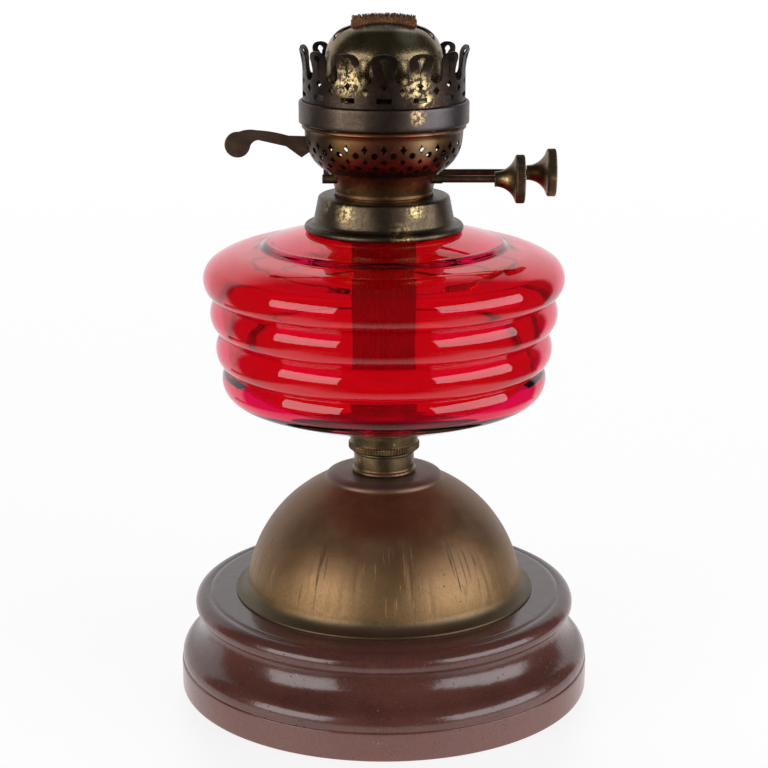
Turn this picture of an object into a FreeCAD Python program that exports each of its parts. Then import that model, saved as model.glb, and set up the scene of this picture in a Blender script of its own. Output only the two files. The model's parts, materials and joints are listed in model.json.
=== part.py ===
import FreeCAD, Part
import math
import os

import Sketcher

# Oil lamp with a duplex (two-wick) burner, in millimetres.
# The origin is on the lamp's axis at table level, +Z is up, +X points along the
# wick-winder shafts towards their knobs, and the front wick is at negative Y.

V = FreeCAD.Vector

SIZES = {
    # stoneware foot
    "foot_radius": 93.0,
    "foot_ring": 6.5,
    "plinth_height": 13.2,
    "ogee_radius": 88.2,
    "ogee_height": 21.8,
    "groove_radius": 81.0,
    "groove_height": 34.5,
    "roll_centre": 81.2,
    "roll_height": 39.5,
    "roll": 5.0,
    "foot_height": 44.8,
    "foot_wall": 7.0,
    "rod_radius": 4.0,
    # clamp that pulls the neck down through dome and foot
    "rod_start": 16.0,
    "plate_radius": 28.0,
    "plate_thickness": 3.0,
    "washer_radius": 9.0,
    "washer_thickness": 1.5,
    "nut_radius": 7.5,
    "nut_height": 6.3,
    # spun brass dome
    "dome_rim": 67.7,
    "dome_radius": 62.2,
    "dome_spring": 50.6,
    "dome_arc": 61.0,
    "dome_top_radius": 27.0,
    "dome_top_height": 96.6,
    "dome_wall": 1.0,
    "neck_seat": 99.9,
    # neck socket and screwed peg of the font
    "socket_radius": 14.2,
    "socket_top": 110.2,
    "socket_bore": 12.9,
    "socket_floor": 103.4,
    "thread_radius": 12.6,
    "knurl_radius": 16.0,
    "peg_cap_radius": 15.2,
    "peg_cap_top": 120.9,
    "peg_cap_bore": 14.2,
    "peg_floor": 112.6,
    "glass_peg": 11.0,
    # glass font: its four rolls, from the lowest up
    "font_bottom": 121.3,
    "font_edge": 64.0,
    "font_edge_height": 134.8,
    "groove_c_radius": 70.3,
    "groove_c_height": 150.3,
    "groove_b_radius": 71.7,
    "groove_b_height": 165.4,
    "groove_a_radius": 74.3,
    "groove_a_height": 181.2,
    "shoulder_radius": 75.6,
    "shoulder_height": 197.3,
    "deck_radius": 55.5,
    "deck_height": 203.1,
    "font_neck": 25.5,
    "font_neck_top": 216.6,
    "font_mouth": 21.5,
    "glass": 3.5,
    # brass collar on the font
    "collar_flange": 34.9,
    "collar_base": 210.4,
    "collar_wall": 30.7,
    "collar_shoulder": 28.9,
    "collar_top": 225.8,
    "collar_bore": 21.4,
    "sheet": 1.2,
    "stud_track": 24.3,
    "stud_height": 219.5,
    "stud_radius": 1.5,
    "stud_reach": 23.7,
    "notch_width": 4.0,
    "notch_angle": 30.0,
    # burner body
    "skirt_radius": 21.0,
    "skirt_bottom": 217.4,
    "cup_floor": 229.4,
    "cup_rim_radius": 24.9,
    "cup_rim_height": 236.9,
    "thin": 0.8,
    "basket_wall": 0.6,
    "basket_radius": 33.6,
    "basket_belly": 247.5,
    "basket_ridge": 35.6,
    "basket_top": 257.2,
    # two wicks, their tubes and the snuffer sleeves
    "wick_offset": 5.5,
    "wick_width": 28.0,
    "wick_thickness": 2.4,
    "wick_shift": -0.05,
    "wick_tail": 146.0,
    "wick_front_top": 305.0,
    "wick_back_top": 294.5,
    "tube_length": 30.6,
    "tube_depth": 4.6,
    "tube_wall": 0.5,
    "tube_bottom": 219.0,
    "tube_top": 293.5,
    "sleeve_bottom": 256.0,
    "sleeve_top": 288.0,
    "bridge_height": 4.0,
    "bridge_length": 18.0,
    # winders
    "shaft_offset": 9.0,
    "shaft_height": 234.0,
    "shaft_radius": 1.55,
    "shaft_left": 26.2,
    "bush_radius": 1.95,
    "bush_left": 26.6,
    "bush_right": 25.2,
    "bush_inner": 20.4,
    "sprocket_radius": 2.05,
    "sprocket_root": 1.75,
    "sprocket_width": 2.0,
    "knob_radius": 10.5,
    "knob_length": 13.4,
    "knob_hub": 3.3,
    "knob_bore_depth": 8.0,
    "knob_front": 47.7,
    "knob_back": 62.6,
    # gallery that carries the chimney
    "band_radius": 36.9,
    "band_bottom": 257.4,
    "band_top": 267.2,
    "crown_radius": 35.1,
    "crown_wall": 0.6,
    "crown_foot": 259.0,
    "crown_bend": 279.0,
    "crown_tip_radius": 36.9,
    "crown_top": 289.8,
    "seat_height": 268.2,
    "seat_thickness": 0.8,
    "cone_radius": 25.7,
    "cone_wall": 0.6,
    "cone_slot_length": 43.0,
    "cone_slot_width": 5.8,
    "cone_top": 301.3,
    # extinguisher lever
    "lever_thickness": 1.5,
    "pivot_x": -28.5,
    "pivot_height": 247.5,
    "pivot_radius": 1.2,
    "lever_disc_x": -63.6,
    "lever_disc_height": 248.6,
    "lever_disc_radius": 5.6,
    "lever_tip_x": -6.0,
    "lever_tip_height": 255.6,
}

CROWN_MOTIFS = 14
BASKET_HOLES = 26
SEAT_HOLES = 24
SPROCKET_TEETH = 10
SPROCKET_PLACES = (-9.0, 0.0, 9.0)

doc = FreeCAD.newDocument("oil_lamp")
parts = {}


class Size:
    """A length held both as a number and as an expression of the size sheet."""

    def __init__(self, value, text=None):
        self.value = float(value)
        self.text = text or repr(float(value))

    def __add__(self, other):
        other = sized(other)
        return Size(self.value + other.value, "(%s + %s)" % (self.text, other.text))

    def __sub__(self, other):
        other = sized(other)
        return Size(self.value - other.value, "(%s - %s)" % (self.text, other.text))

    def __mul__(self, factor):
        factor = sized(factor)
        return Size(self.value * factor.value, "(%s * %s)" % (self.text, factor.text))

    def __neg__(self):
        return Size(-self.value, "(0 - %s)" % self.text)


def sized(value):
    """The value as a Size, whether it is one already or a plain number."""
    return value if isinstance(value, Size) else Size(value)


class Sizes:
    """Gives every cell of the sheet as a Size, by its alias."""

    def __getattr__(self, alias):
        return Size(SIZES[alias], "sizes." + alias)


S = Sizes()


def write_sheet():
    """Put every driving size into the spreadsheet, one named cell each."""
    sheet = doc.addObject("Spreadsheet::Sheet", "sizes")
    for row, (alias, number) in enumerate(SIZES.items(), start=1):
        sheet.set("A%d" % row, alias)
        sheet.set("B%d" % row, str(number))
        sheet.setAlias("B%d" % row, alias)
    doc.recompute()


def keep(label, thing):
    """Register a finished sub-part under the name of its file."""
    thing.Label = label
    parts[label] = thing
    return thing


def bind(thing, **sizes):
    """Bind properties of an object to expressions of the sheet."""
    for name, size in sizes.items():
        thing.setExpression(name.replace("_", "."), sized(size).text)


def place(thing, x=0, y=0, z=0):
    """Bind the position of an object to the sheet."""
    bind(thing, Placement_Base_x=x, Placement_Base_y=y, Placement_Base_z=z)


# ---------------------------------------------------------------- sketches


def origin_feature(body, role):
    """The body's own origin plane or axis of that role."""
    for feature in body.Origin.OriginFeatures:
        if feature.Role == role:
            return feature
    raise ValueError("no origin feature called " + role)


def sketch_on(body, role, name, lift=None, turn=0.0):
    """A new sketch on one of the body's origin planes, lifted off it if asked."""
    sketch = body.newObject("Sketcher::SketchObject", name)
    sketch.AttachmentSupport = [(origin_feature(body, role), "")]
    sketch.MapMode = "FlatFace"
    sketch.AttachmentOffset = FreeCAD.Placement(V(0, 0, 0), FreeCAD.Rotation(V(0, 0, 1), turn))
    if lift is not None:
        bind(sketch, AttachmentOffset_Base_z=lift)
    return sketch


def arc_between(start, end, radius):
    """The shorter arc from start to end; a positive radius turns anticlockwise."""
    chord = end - start
    rise = math.sqrt(radius * radius - chord.Length * chord.Length / 4.0)
    side = V(-chord.y, chord.x, 0).normalize() * math.copysign(rise, radius)
    centre = (start + end) * 0.5 + side
    first, last = (start, end) if radius > 0 else (end, start)
    angle_first = math.atan2(first.y - centre.y, first.x - centre.x)
    angle_last = math.atan2(last.y - centre.y, last.x - centre.x)
    circle = Part.Circle(centre, V(0, 0, 1), abs(radius))
    return Part.ArcOfCircle(circle, angle_first, angle_last)


def fix_point(sketch, geometry, position, x, y, found):
    """Constrain a point to expressions of its two distances from the origin."""
    for kind, axis, size in (("DistanceX", -2, x), ("DistanceY", -1, y)):
        if size.value == 0:
            found.append((Sketcher.Constraint("PointOnObject", geometry, position, axis), None))
        else:
            rule = Sketcher.Constraint(kind, -1, 1, geometry, position, size.value)
            found.append((rule, size.text))


def add_rules(sketch, found):
    """Add the constraints, then bind the driven ones to the sheet."""
    first = sketch.ConstraintCount
    sketch.addConstraint([rule for rule, text in found])
    for index, (rule, text) in enumerate(found):
        if text:
            sketch.setExpression("Constraints[%d]" % (first + index), text)


def draw_loop(sketch, corners):
    """Draw a closed loop through its corners.

    A corner is (x, y), reached by a straight line, or (x, y, radius), reached by
    an arc whose radius is positive where it turns anticlockwise.
    """
    corners = [tuple(sized(value) for value in corner) for corner in corners]
    count = len(corners)
    ends = []
    found = []
    for index in range(count):
        here = corners[index]
        there = corners[(index + 1) % count]
        start = V(here[0].value, here[1].value, 0)
        end = V(there[0].value, there[1].value, 0)
        if len(there) == 3:
            edge = sketch.addGeometry(arc_between(start, end, there[2].value), False)
            ends.append((edge, 1, 2) if there[2].value > 0 else (edge, 2, 1))
            radius = there[2] if there[2].value > 0 else -there[2]
            found.append((Sketcher.Constraint("Radius", edge, radius.value), radius.text))
        else:
            edge = sketch.addGeometry(Part.LineSegment(start, end), False)
            ends.append((edge, 1, 2))
    for index in range(count):
        edge, first, last = ends[index]
        following, its_first, _ = ends[(index + 1) % count]
        found.append((Sketcher.Constraint("Coincident", edge, last, following, its_first), None))
        fix_point(sketch, edge, first, corners[index][0], corners[index][1], found)
    add_rules(sketch, found)


def draw_circle(sketch, x, y, radius):
    """Draw a circle with its centre and radius bound to the sheet."""
    x, y, radius = sized(x), sized(y), sized(radius)
    circle = Part.Circle(V(x.value, y.value, 0), V(0, 0, 1), radius.value)
    edge = sketch.addGeometry(circle, False)
    found = [(Sketcher.Constraint("Radius", edge, radius.value), radius.text)]
    fix_point(sketch, edge, 3, x, y, found)
    add_rules(sketch, found)


def draw_box(sketch, x, y, half_width, half_height):
    """Draw an upright rectangle about a centre."""
    x, y, half_width, half_height = (sized(size) for size in (x, y, half_width, half_height))
    draw_loop(sketch, [
        (x - half_width, y - half_height),
        (x + half_width, y - half_height),
        (x + half_width, y + half_height),
        (x - half_width, y + half_height),
    ])


def draw_star(sketch, x, y, half_width, half_height, waist):
    """Draw a four-pointed star; its waist is how far its inner corners stand out."""
    x, y = sized(x), sized(y)
    draw_loop(sketch, [
        (x, y - half_height),
        (x + waist, y - waist),
        (x + half_width, y),
        (x + waist, y + waist),
        (x, y + half_height),
        (x - waist, y + waist),
        (x - half_width, y),
        (x - waist, y - waist),
    ])


# ---------------------------------------------------------------- features


def new_body(label):
    """An empty body, registered as a sub-part."""
    return keep(label, doc.addObject("PartDesign::Body", label))


def turned(label, corners):
    """A body turned about the lamp's axis from an outline of radius and height."""
    body = new_body(label)
    profile = sketch_on(body, "XZ_Plane", label + "_profile")
    draw_loop(profile, corners)
    feature = body.newObject("PartDesign::Revolution", label + "_turned")
    feature.Profile = profile
    feature.ReferenceAxis = (profile, ["V_Axis"])
    feature.Angle = 360
    doc.recompute()
    return body


def padded(body, sketch, length, both_ways=False):
    """Pad a sketch of the body by a length bound to the sheet."""
    feature = body.newObject("PartDesign::Pad", sketch.Name + "_pad")
    feature.Profile = sketch
    feature.Midplane = both_ways
    bind(feature, Length=length)
    doc.recompute()
    return feature


def pocket(body, sketch, length, both_ways=False):
    """Cut a sketch out of the body and make sure that it removed something."""
    before = body.Shape.Volume
    feature = body.newObject("PartDesign::Pocket", sketch.Name + "_cut")
    feature.Profile = sketch
    feature.Midplane = both_ways
    bind(feature, Length=length)
    doc.recompute()
    if body.Shape.Volume >= before:
        raise ValueError(sketch.Name + " cuts nothing")
    return feature


def around(body, feature, count):
    """Repeat a feature evenly round the lamp's axis."""
    before = body.Shape.Volume
    pattern = body.newObject("PartDesign::PolarPattern", feature.Name + "_ring")
    pattern.Originals = [feature]
    pattern.Axis = (origin_feature(body, "Z_Axis"), [""])
    pattern.Angle = 360
    pattern.Occurrences = count
    body.Tip = pattern
    doc.recompute()
    if body.Shape.Volume >= before:
        raise ValueError(feature.Name + " repeats nothing")


def cylinder(name, radius, length, axis=V(0, 0, 1)):
    """A cylinder primitive that starts at its position and runs along an axis."""
    thing = doc.addObject("Part::Cylinder", name)
    thing.Placement = FreeCAD.Placement(V(0, 0, 0), FreeCAD.Rotation(V(0, 0, 1), axis))
    bind(thing, Radius=radius, Height=length)
    return thing


def box(name, length, width, height):
    """A box primitive with its sizes along X, Y and Z."""
    thing = doc.addObject("Part::Box", name)
    bind(thing, Length=length, Width=width, Height=height)
    return thing


def cut(name, base, tool):
    """The first shape with the second one taken out."""
    thing = doc.addObject("Part::Cut", name)
    thing.Base = base
    thing.Tool = tool
    return thing


def group(name, things):
    """Several identical pieces held as one node of separate solids."""
    thing = doc.addObject("Part::Compound", name)
    thing.Links = things
    return thing


# ---------------------------------------------------------------- the base


def make_foot():
    """Glazed stoneware foot: plinth, ogee and upper roll, hollow underneath."""
    inner = S.foot_radius - S.foot_ring
    ceiling = S.foot_height - S.foot_wall
    turned("stoneware_foot", [
        (inner, 0),
        (S.foot_radius - 0.8, 0),
        (S.foot_radius, 0.8, 0.8),
        (S.foot_radius, S.plinth_height - 0.7),
        (S.foot_radius - 0.6, S.plinth_height, 0.8),
        (S.ogee_radius, S.ogee_height, 7.5),
        (S.groove_radius, S.groove_height, -16.0),
        (S.roll_centre + S.roll, S.roll_height, S.roll),
        (S.roll_centre - 1.7, S.roll_height + 4.7, S.roll),
        (S.roll_centre - 2.9, S.foot_height),
        (S.rod_radius + 1.0, S.foot_height),
        (S.rod_radius + 1.0, ceiling),
        (inner - 14.5, ceiling),
        (inner - 11.5, ceiling - 3.0),
        (inner - 10.0, ceiling - 13.8),
        (inner, S.plinth_height - 2.2),
    ])


def make_dome():
    """Spun brass dome with a rolled rim below and a stepped seat on top."""
    wall = S.dome_wall
    turned("dome_cover", [
        (S.dome_rim - 4.1, S.foot_height),
        (S.dome_rim, S.foot_height),
        (S.dome_rim, S.foot_height + 0.6),
        (S.dome_rim - 0.8, S.foot_height + 1.2, 0.9),
        (S.dome_radius, S.dome_spring, -6.5),
        (S.dome_top_radius, S.dome_top_height, S.dome_arc),
        (S.dome_top_radius - 0.6, S.dome_top_height + 0.6),
        (S.dome_top_radius - 2.5, S.neck_seat - 0.5, 2.4),
        (S.dome_top_radius - 4.5, S.neck_seat),
        (S.rod_radius + 2.2, S.neck_seat),
        (S.rod_radius + 2.2, S.neck_seat - wall),
        (S.dome_top_radius - 4.7, S.neck_seat - wall),
        (S.dome_top_radius - 1.6, S.dome_top_height - 0.2),
        (S.dome_top_radius - 0.43, S.dome_top_height - wall),
        (S.dome_radius - wall, S.dome_spring - 0.2, -(S.dome_arc - wall)),
        (S.dome_radius - wall + 0.4, S.foot_height + 2.4),
    ])


def make_clamp():
    """Tie rod, plate, washer and nut that hold foot, dome and neck together."""
    ceiling = S.foot_height - S.foot_wall
    plate_under = ceiling - S.plate_thickness
    washer_under = plate_under - S.washer_thickness
    rod = keep("clamp_rod", cylinder("clamp_rod", S.rod_radius, S.socket_floor - S.rod_start))
    place(rod, z=S.rod_start)
    hole = S.rod_radius + 0.2
    turned("clamp_plate", [
        (hole, plate_under),
        (S.plate_radius - 1.0, plate_under),
        (S.plate_radius, plate_under + 1.0),
        (S.plate_radius, ceiling),
        (hole, ceiling),
    ])
    turned("clamp_washer", [
        (hole, washer_under),
        (S.washer_radius, washer_under),
        (S.washer_radius, plate_under),
        (hole, plate_under),
    ])
    blank = doc.addObject("Part::Prism", "nut_blank")
    blank.Polygon = 6
    bind(blank, Circumradius=S.nut_radius, Height=S.nut_height)
    place(blank, z=washer_under - S.nut_height)
    bore = cylinder("nut_bore", S.rod_radius + 0.1, S.nut_height)
    place(bore, z=washer_under - S.nut_height)
    keep("clamp_nut", cut("clamp_nut", blank, bore))


def make_neck_socket():
    """Brass socket on top of the dome, with the bore that the font screws into."""
    foot = S.neck_seat
    turned("neck_socket", [
        (S.rod_radius + 0.1, foot),
        (S.socket_radius + 0.3, foot),
        (S.socket_radius + 0.3, foot + 2.2, 1.3),
        (S.socket_radius, foot + 2.7),
        (S.socket_radius, S.socket_top - 1.2),
        (S.socket_radius + 0.5, S.socket_top - 0.8),
        (S.socket_radius + 0.5, S.socket_top),
        (S.socket_bore, S.socket_top),
        (S.socket_bore, S.socket_floor),
        (S.rod_radius + 0.1, S.socket_floor),
    ])


# ---------------------------------------------------------------- the font


def make_peg():
    """Brass peg under the font, with its thread and gripping ring, and its plaster."""
    ring = S.socket_top + 0.3
    turned("font_peg", [
        (S.thread_radius - 2.6, S.socket_floor + 0.5),
        (S.thread_radius, S.socket_floor + 0.5),
        (S.thread_radius, ring),
        (S.knurl_radius - 1.1, ring),
        (S.knurl_radius, ring + 0.8),
        (S.knurl_radius, ring + 2.9),
        (S.peg_cap_radius, ring + 3.7),
        (S.peg_cap_radius, ring + 6.5),
        (S.peg_cap_radius + 1.4, S.peg_cap_top, -6.0),
        (S.peg_cap_bore + 1.2, S.peg_cap_top),
        (S.peg_cap_bore, S.peg_cap_top - 2.4),
        (S.peg_cap_bore, S.peg_floor),
        (0, S.peg_floor),
        (0, S.peg_floor - 2.6),
        (S.thread_radius - 2.6, S.peg_floor - 2.6),
    ])
    turned("peg_plaster", [
        (0, S.peg_floor),
        (S.peg_cap_bore, S.peg_floor),
        (S.peg_cap_bore, S.peg_cap_top - 2.4),
        (S.glass_peg + 0.1, S.peg_cap_top - 2.4),
        (S.glass_peg + 0.1, S.peg_floor + 1.3),
        (0, S.peg_floor + 1.3),
    ])


def make_font():
    """Blown glass font: four rolls, a sloping shoulder, a low deck and a neck."""
    glass = S.glass
    turned("font", [
        (0, S.peg_floor + 1.4),
        (S.glass_peg, S.peg_floor + 1.4),
        (S.glass_peg, S.font_bottom - 1.0),
        (S.glass_peg + 2.5, S.font_bottom),
        (S.font_edge, S.font_edge_height, 210.0),
        (S.groove_c_radius, S.groove_c_height, 10.0),
        (S.groove_b_radius, S.groove_b_height, 9.8),
        (S.groove_a_radius, S.groove_a_height, 10.4),
        (S.shoulder_radius, S.shoulder_height, 9.3),
        (S.deck_radius + 8.5, S.deck_height - 1.1, 30.0),
        (S.deck_radius, S.deck_height),
        (S.deck_radius - 2.5, S.deck_height + 1.6, -3.0),
        (S.deck_radius - 5.0, S.deck_height + 2.8, 3.2),
        (S.font_neck + 1.5, S.deck_height + 8.1, 150.0),
        (S.font_neck, S.deck_height + 9.6, -1.5),
        (S.font_neck, S.font_neck_top - 0.7),
        (S.font_neck - 0.7, S.font_neck_top, 0.7),
        (S.font_mouth + 0.6, S.font_neck_top),
        (S.font_mouth, S.font_neck_top - 0.6, 0.6),
        (S.font_mouth, S.deck_height + 8.5),
        (S.font_mouth + 4.5, S.deck_height + 4.4, 4.5),
        (S.deck_radius - 5.5, S.deck_height - 1.1),
        (S.deck_radius + 8.5, S.deck_height - 4.7),
        (S.shoulder_radius - 2.2, S.shoulder_height - 2.9, -40.0),
        (S.groove_a_radius - glass, S.groove_a_height + 0.2, -7.5),
        (S.groove_b_radius - glass, S.groove_b_height + 0.2, -10.5),
        (S.groove_c_radius - glass, S.groove_c_height + 0.2, -9.8),
        (S.font_edge - 2.2, S.font_edge_height + 3.7, -8.5),
        (S.glass_peg + 1.0, S.font_bottom + 5.2, -206.0),
        (0, S.font_bottom + 4.7),
    ])


def cut_notches(body):
    """Two gaps in a ring that let the bayonet studs drop in before the twist."""
    name = body.Name + "_notches"
    sketch = sketch_on(body, "XY_Plane", name, S.collar_top + 1.0, SIZES["notch_angle"])
    half_reach = (S.stud_track + 0.1) * 0.5
    for side in (1, -1):
        draw_box(sketch, half_reach * side, 0, half_reach, S.notch_width * 0.5)
    pocket(body, sketch, S.collar_top + 1.0 - S.stud_height - 2.0)


def make_collar():
    """Stepped brass collar, the bayonet ring inside it and the plaster below."""
    collar = turned("font_collar", [
        (S.collar_wall - 1.3, S.collar_base + 0.9),
        (S.collar_flange - 1.3, S.collar_base),
        (S.collar_flange, S.collar_base + 1.2, 1.4),
        (S.collar_flange - 1.0, S.collar_base + 3.1, 2.0),
        (S.collar_wall, S.collar_base + 4.8, -2.6),
        (S.collar_shoulder, S.collar_top - 1.6),
        (S.collar_shoulder - 1.5, S.collar_top, 1.6),
        (S.collar_bore, S.collar_top),
        (S.collar_bore, S.collar_top - S.sheet),
        (S.collar_shoulder - 1.7, S.collar_top - S.sheet),
        (S.collar_shoulder - S.sheet, S.collar_top - 1.9),
        (S.collar_wall - 1.3, S.collar_base + 5.4),
    ])
    cut_notches(collar)
    under = S.stud_height - 2.3
    lip = S.stud_height + 2.3
    ring = turned("bayonet_ring", [
        (S.stud_track, under),
        (S.collar_shoulder - 1.9, under),
        (S.collar_shoulder - 1.9, S.collar_top - S.sheet - 0.1),
        (S.collar_bore, S.collar_top - S.sheet - 0.1),
        (S.collar_bore, lip),
        (S.stud_track, lip),
    ])
    cut_notches(ring)
    turned("collar_plaster", [
        (S.font_neck + 0.2, S.collar_base + 2.2),
        (S.collar_wall - 1.8, S.collar_base + 1.8),
        (S.collar_wall - 1.8, S.font_neck_top),
        (S.font_neck + 0.2, S.font_neck_top),
    ])


# ---------------------------------------------------------------- the burner


def make_cup():
    """Burner cup: skirt in the collar, floor with two tube slots, flared wall."""
    thin = S.thin
    body = turned("burner_cup", [
        (S.skirt_radius - thin, S.skirt_bottom),
        (S.skirt_radius, S.skirt_bottom),
        (S.skirt_radius, S.collar_top + 0.4),
        (S.skirt_radius + 0.6, S.collar_top + 1.0, 0.6),
        (S.skirt_radius + 0.6, S.collar_top + 1.6),
        (S.skirt_radius + 0.4, S.collar_top + 2.2),
        (S.cup_rim_radius, S.cup_rim_height, -22.0),
        (S.cup_rim_radius - thin, S.cup_rim_height + 0.3),
        (S.skirt_radius - thin + 0.6, S.cup_floor + 0.4, 22.8),
        (S.skirt_radius - thin - 0.4, S.cup_floor),
        (0, S.cup_floor),
        (0, S.cup_floor - thin),
        (S.skirt_radius - thin, S.cup_floor - thin),
    ])
    slots = sketch_on(body, "XY_Plane", "cup_slots", S.cup_floor + 1.0)
    for side in (1, -1):
        draw_box(slots, 0, S.wick_offset * side, S.tube_length * 0.5 + 0.2, S.tube_depth * 0.5 + 0.2)
    pocket(body, slots, thin + 2.0)
    bores = sketch_on(body, "YZ_Plane", "cup_bores")
    for side in (1, -1):
        draw_circle(bores, S.shaft_offset * side, S.shaft_height, S.bush_radius + 0.05)
    pocket(body, bores, S.foot_radius, both_ways=True)
    studs = []
    for name, side in (("stud_right", 1), ("stud_left", -1)):
        reach = S.stud_reach - S.skirt_radius - 0.05
        stud = cylinder(name, S.stud_radius, reach, V(side, 0, 0))
        place(stud, x=(S.skirt_radius + 0.05) * side, z=S.stud_height)
        studs.append(stud)
    keep("bayonet_studs", group("bayonet_studs", studs))


def draw_flat_tube(sketch, length, depth):
    """The outline of a flattened tube: two straights and two half-round ends."""
    x = length * 0.5 - depth * 0.5
    y = depth * 0.5
    bulge = depth * 0.501
    draw_loop(sketch, [(-x, -y, bulge), (x, -y), (x, y, bulge), (-x, y)])


def flat_tube(label, length, depth, wall, bottom, top, side):
    """An upright flattened tube round one wick."""
    body = new_body(label)
    place(body, y=S.wick_offset * side)
    sketch = sketch_on(body, "XY_Plane", label + "_outline", bottom)
    draw_flat_tube(sketch, length, depth)
    draw_flat_tube(sketch, length - wall * 2, depth - wall * 2)
    padded(body, sketch, top - bottom)
    return body


def make_wick_tubes():
    """Two wick tubes, each with a window for the winder's sprockets."""
    for label, side in (("wick_tube_front", -1), ("wick_tube_back", 1)):
        body = flat_tube(label, S.tube_length, S.tube_depth, S.tube_wall,
                         S.tube_bottom, S.tube_top, side)
        window = sketch_on(body, "YZ_Plane", label + "_window")
        draw_box(window, S.tube_depth * 0.5 * side, S.shaft_height, S.tube_wall + 0.3, 2.6)
        pocket(body, window, S.tube_length + 2.0, both_ways=True)


def make_basket():
    """Perforated basket that feeds air to the burner, with a ridge under its rim."""
    wall = S.basket_wall
    body = turned("basket", [
        (S.cup_rim_radius + 0.1, S.cup_rim_height - 0.3),
        (S.basket_radius, S.basket_belly, 17.5),
        (S.basket_radius + 0.8, S.basket_top - 3.2, 46.0),
        (S.basket_ridge, S.basket_top - 1.6, -2.0),
        (S.basket_ridge - 0.6, S.basket_top, 1.3),
        (S.basket_ridge - 1.9, S.basket_top),
        (S.basket_radius + 0.2, S.basket_top - 3.2, 2.6),
        (S.basket_radius - wall, S.basket_belly, -45.4),
        (S.cup_rim_radius + 0.1, S.cup_rim_height + 0.6, -16.9),
    ])
    half_step = math.radians(180.0 / BASKET_HOLES)
    holes = sketch_on(body, "XZ_Plane", "basket_holes")
    draw_star(holes, 0, S.basket_belly + 2.3, 1.35, 1.95, 0.55)
    draw_circle(holes, S.basket_radius * math.sin(half_step), S.basket_belly - 0.2, 1.45)
    draw_star(holes, 0, S.basket_belly - 3.0, 1.15, 1.4, 0.45)
    draw_circle(holes, S.basket_radius * 0.93 * math.sin(half_step), S.basket_belly - 5.6, 1.15)
    draw_circle(holes, 0, S.basket_belly - 7.4, 0.8)
    around(body, pocket(body, holes, S.foot_radius), BASKET_HOLES)
    gate = sketch_on(body, "XZ_Plane", "basket_gate")
    draw_box(gate, -S.basket_radius, S.pivot_height - 1.2, 3.4, 6.4)
    pocket(body, gate, S.lever_thickness + 0.9, both_ways=True)


def make_bushes():
    """Four short bushes that carry the winder shafts in the cup wall."""
    bushes = []
    for side in (-1, 1):
        ends = (("left", -1, S.bush_left), ("right", 1, S.bush_right))
        for name, hand, reach in ends:
            label = "bush_%s_%s" % (name, "front" if side < 0 else "back")
            tube = cylinder(label + "_tube", S.bush_radius, reach - S.bush_inner, V(hand, 0, 0))
            bore = cylinder(label + "_bore", S.shaft_radius + 0.1, reach - S.bush_inner,
                            V(hand, 0, 0))
            for thing in (tube, bore):
                place(thing, S.bush_inner * hand, S.shaft_offset * side, S.shaft_height)
            bushes.append(cut(label, tube, bore))
    keep("shaft_bushes", group("shaft_bushes", bushes))


def make_sprockets(label, side):
    """Three toothed wheels on one winder shaft."""
    wheels = []
    for index, x in enumerate(SPROCKET_PLACES):
        body = doc.addObject("PartDesign::Body", "%s_%d" % (label, index))
        sketch = sketch_on(body, "XY_Plane", body.Name + "_outline")
        corners = []
        for tooth in range(2 * SPROCKET_TEETH):
            angle = math.pi * tooth / SPROCKET_TEETH
            radius = S.sprocket_root if tooth % 2 else S.sprocket_radius
            corners.append((radius * math.cos(angle), radius * math.sin(angle)))
        draw_loop(sketch, corners)
        draw_circle(sketch, 0, 0, S.shaft_radius + 0.02)
        padded(body, sketch, S.sprocket_width)
        body.Placement = FreeCAD.Placement(V(0, 0, 0), FreeCAD.Rotation(V(0, 0, 1), V(1, 0, 0)))
        place(body, S.wick_shift + x - S.sprocket_width * 0.5, S.shaft_offset * side,
              S.shaft_height)
        wheels.append(body)
    keep(label, group(label, wheels))


def make_knob(label, start, side):
    """Trumpet-shaped winder knob with a broad rim and a slightly domed face."""
    long = S.knob_length
    body = turned(label, [
        (S.shaft_radius + 0.02, 0),
        (S.knob_hub, 0),
        (S.knob_hub, 1.0),
        (S.knob_radius - 0.9, long - 4.6, -9.0),
        (S.knob_radius, long - 4.0),
        (S.knob_radius, long - 1.0),
        (S.knob_radius - 0.7, long - 0.5, 0.7),
        (S.knob_radius - 2.2, long - 0.7),
        (1.0, long, 45.0),
        (0, long),
        (0, S.knob_bore_depth),
        (S.shaft_radius + 0.02, S.knob_bore_depth),
    ])
    body.Placement = FreeCAD.Placement(V(0, 0, 0), FreeCAD.Rotation(V(0, 0, 1), V(1, 0, 0)))
    place(body, start, S.shaft_offset * side, S.shaft_height)


def make_winders():
    """Two winder shafts with their sprockets and knobs."""
    for name, side, start in (("front", -1, S.knob_front), ("back", 1, S.knob_back)):
        label = "winder_shaft_" + name
        length = S.shaft_left + start + S.knob_bore_depth - 0.1
        shaft = keep(label, cylinder(label, S.shaft_radius, length, V(1, 0, 0)))
        place(shaft, -S.shaft_left, S.shaft_offset * side, S.shaft_height)
        make_sprockets("sprockets_" + name, side)
        make_knob("winder_knob_" + name, start, side)


def make_wicks():
    """Two flat woven wicks, as plain ribbons of their true size."""
    for name, side, top in (("front", -1, S.wick_front_top), ("back", 1, S.wick_back_top)):
        label = "wick_" + name
        wick = keep(label, box(label, S.wick_width, S.wick_thickness, top - S.wick_tail))
        place(wick, S.wick_shift - S.wick_width * 0.5,
              S.wick_offset * side - S.wick_thickness * 0.5, S.wick_tail)


# ---------------------------------------------------------------- the snuffer


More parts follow.
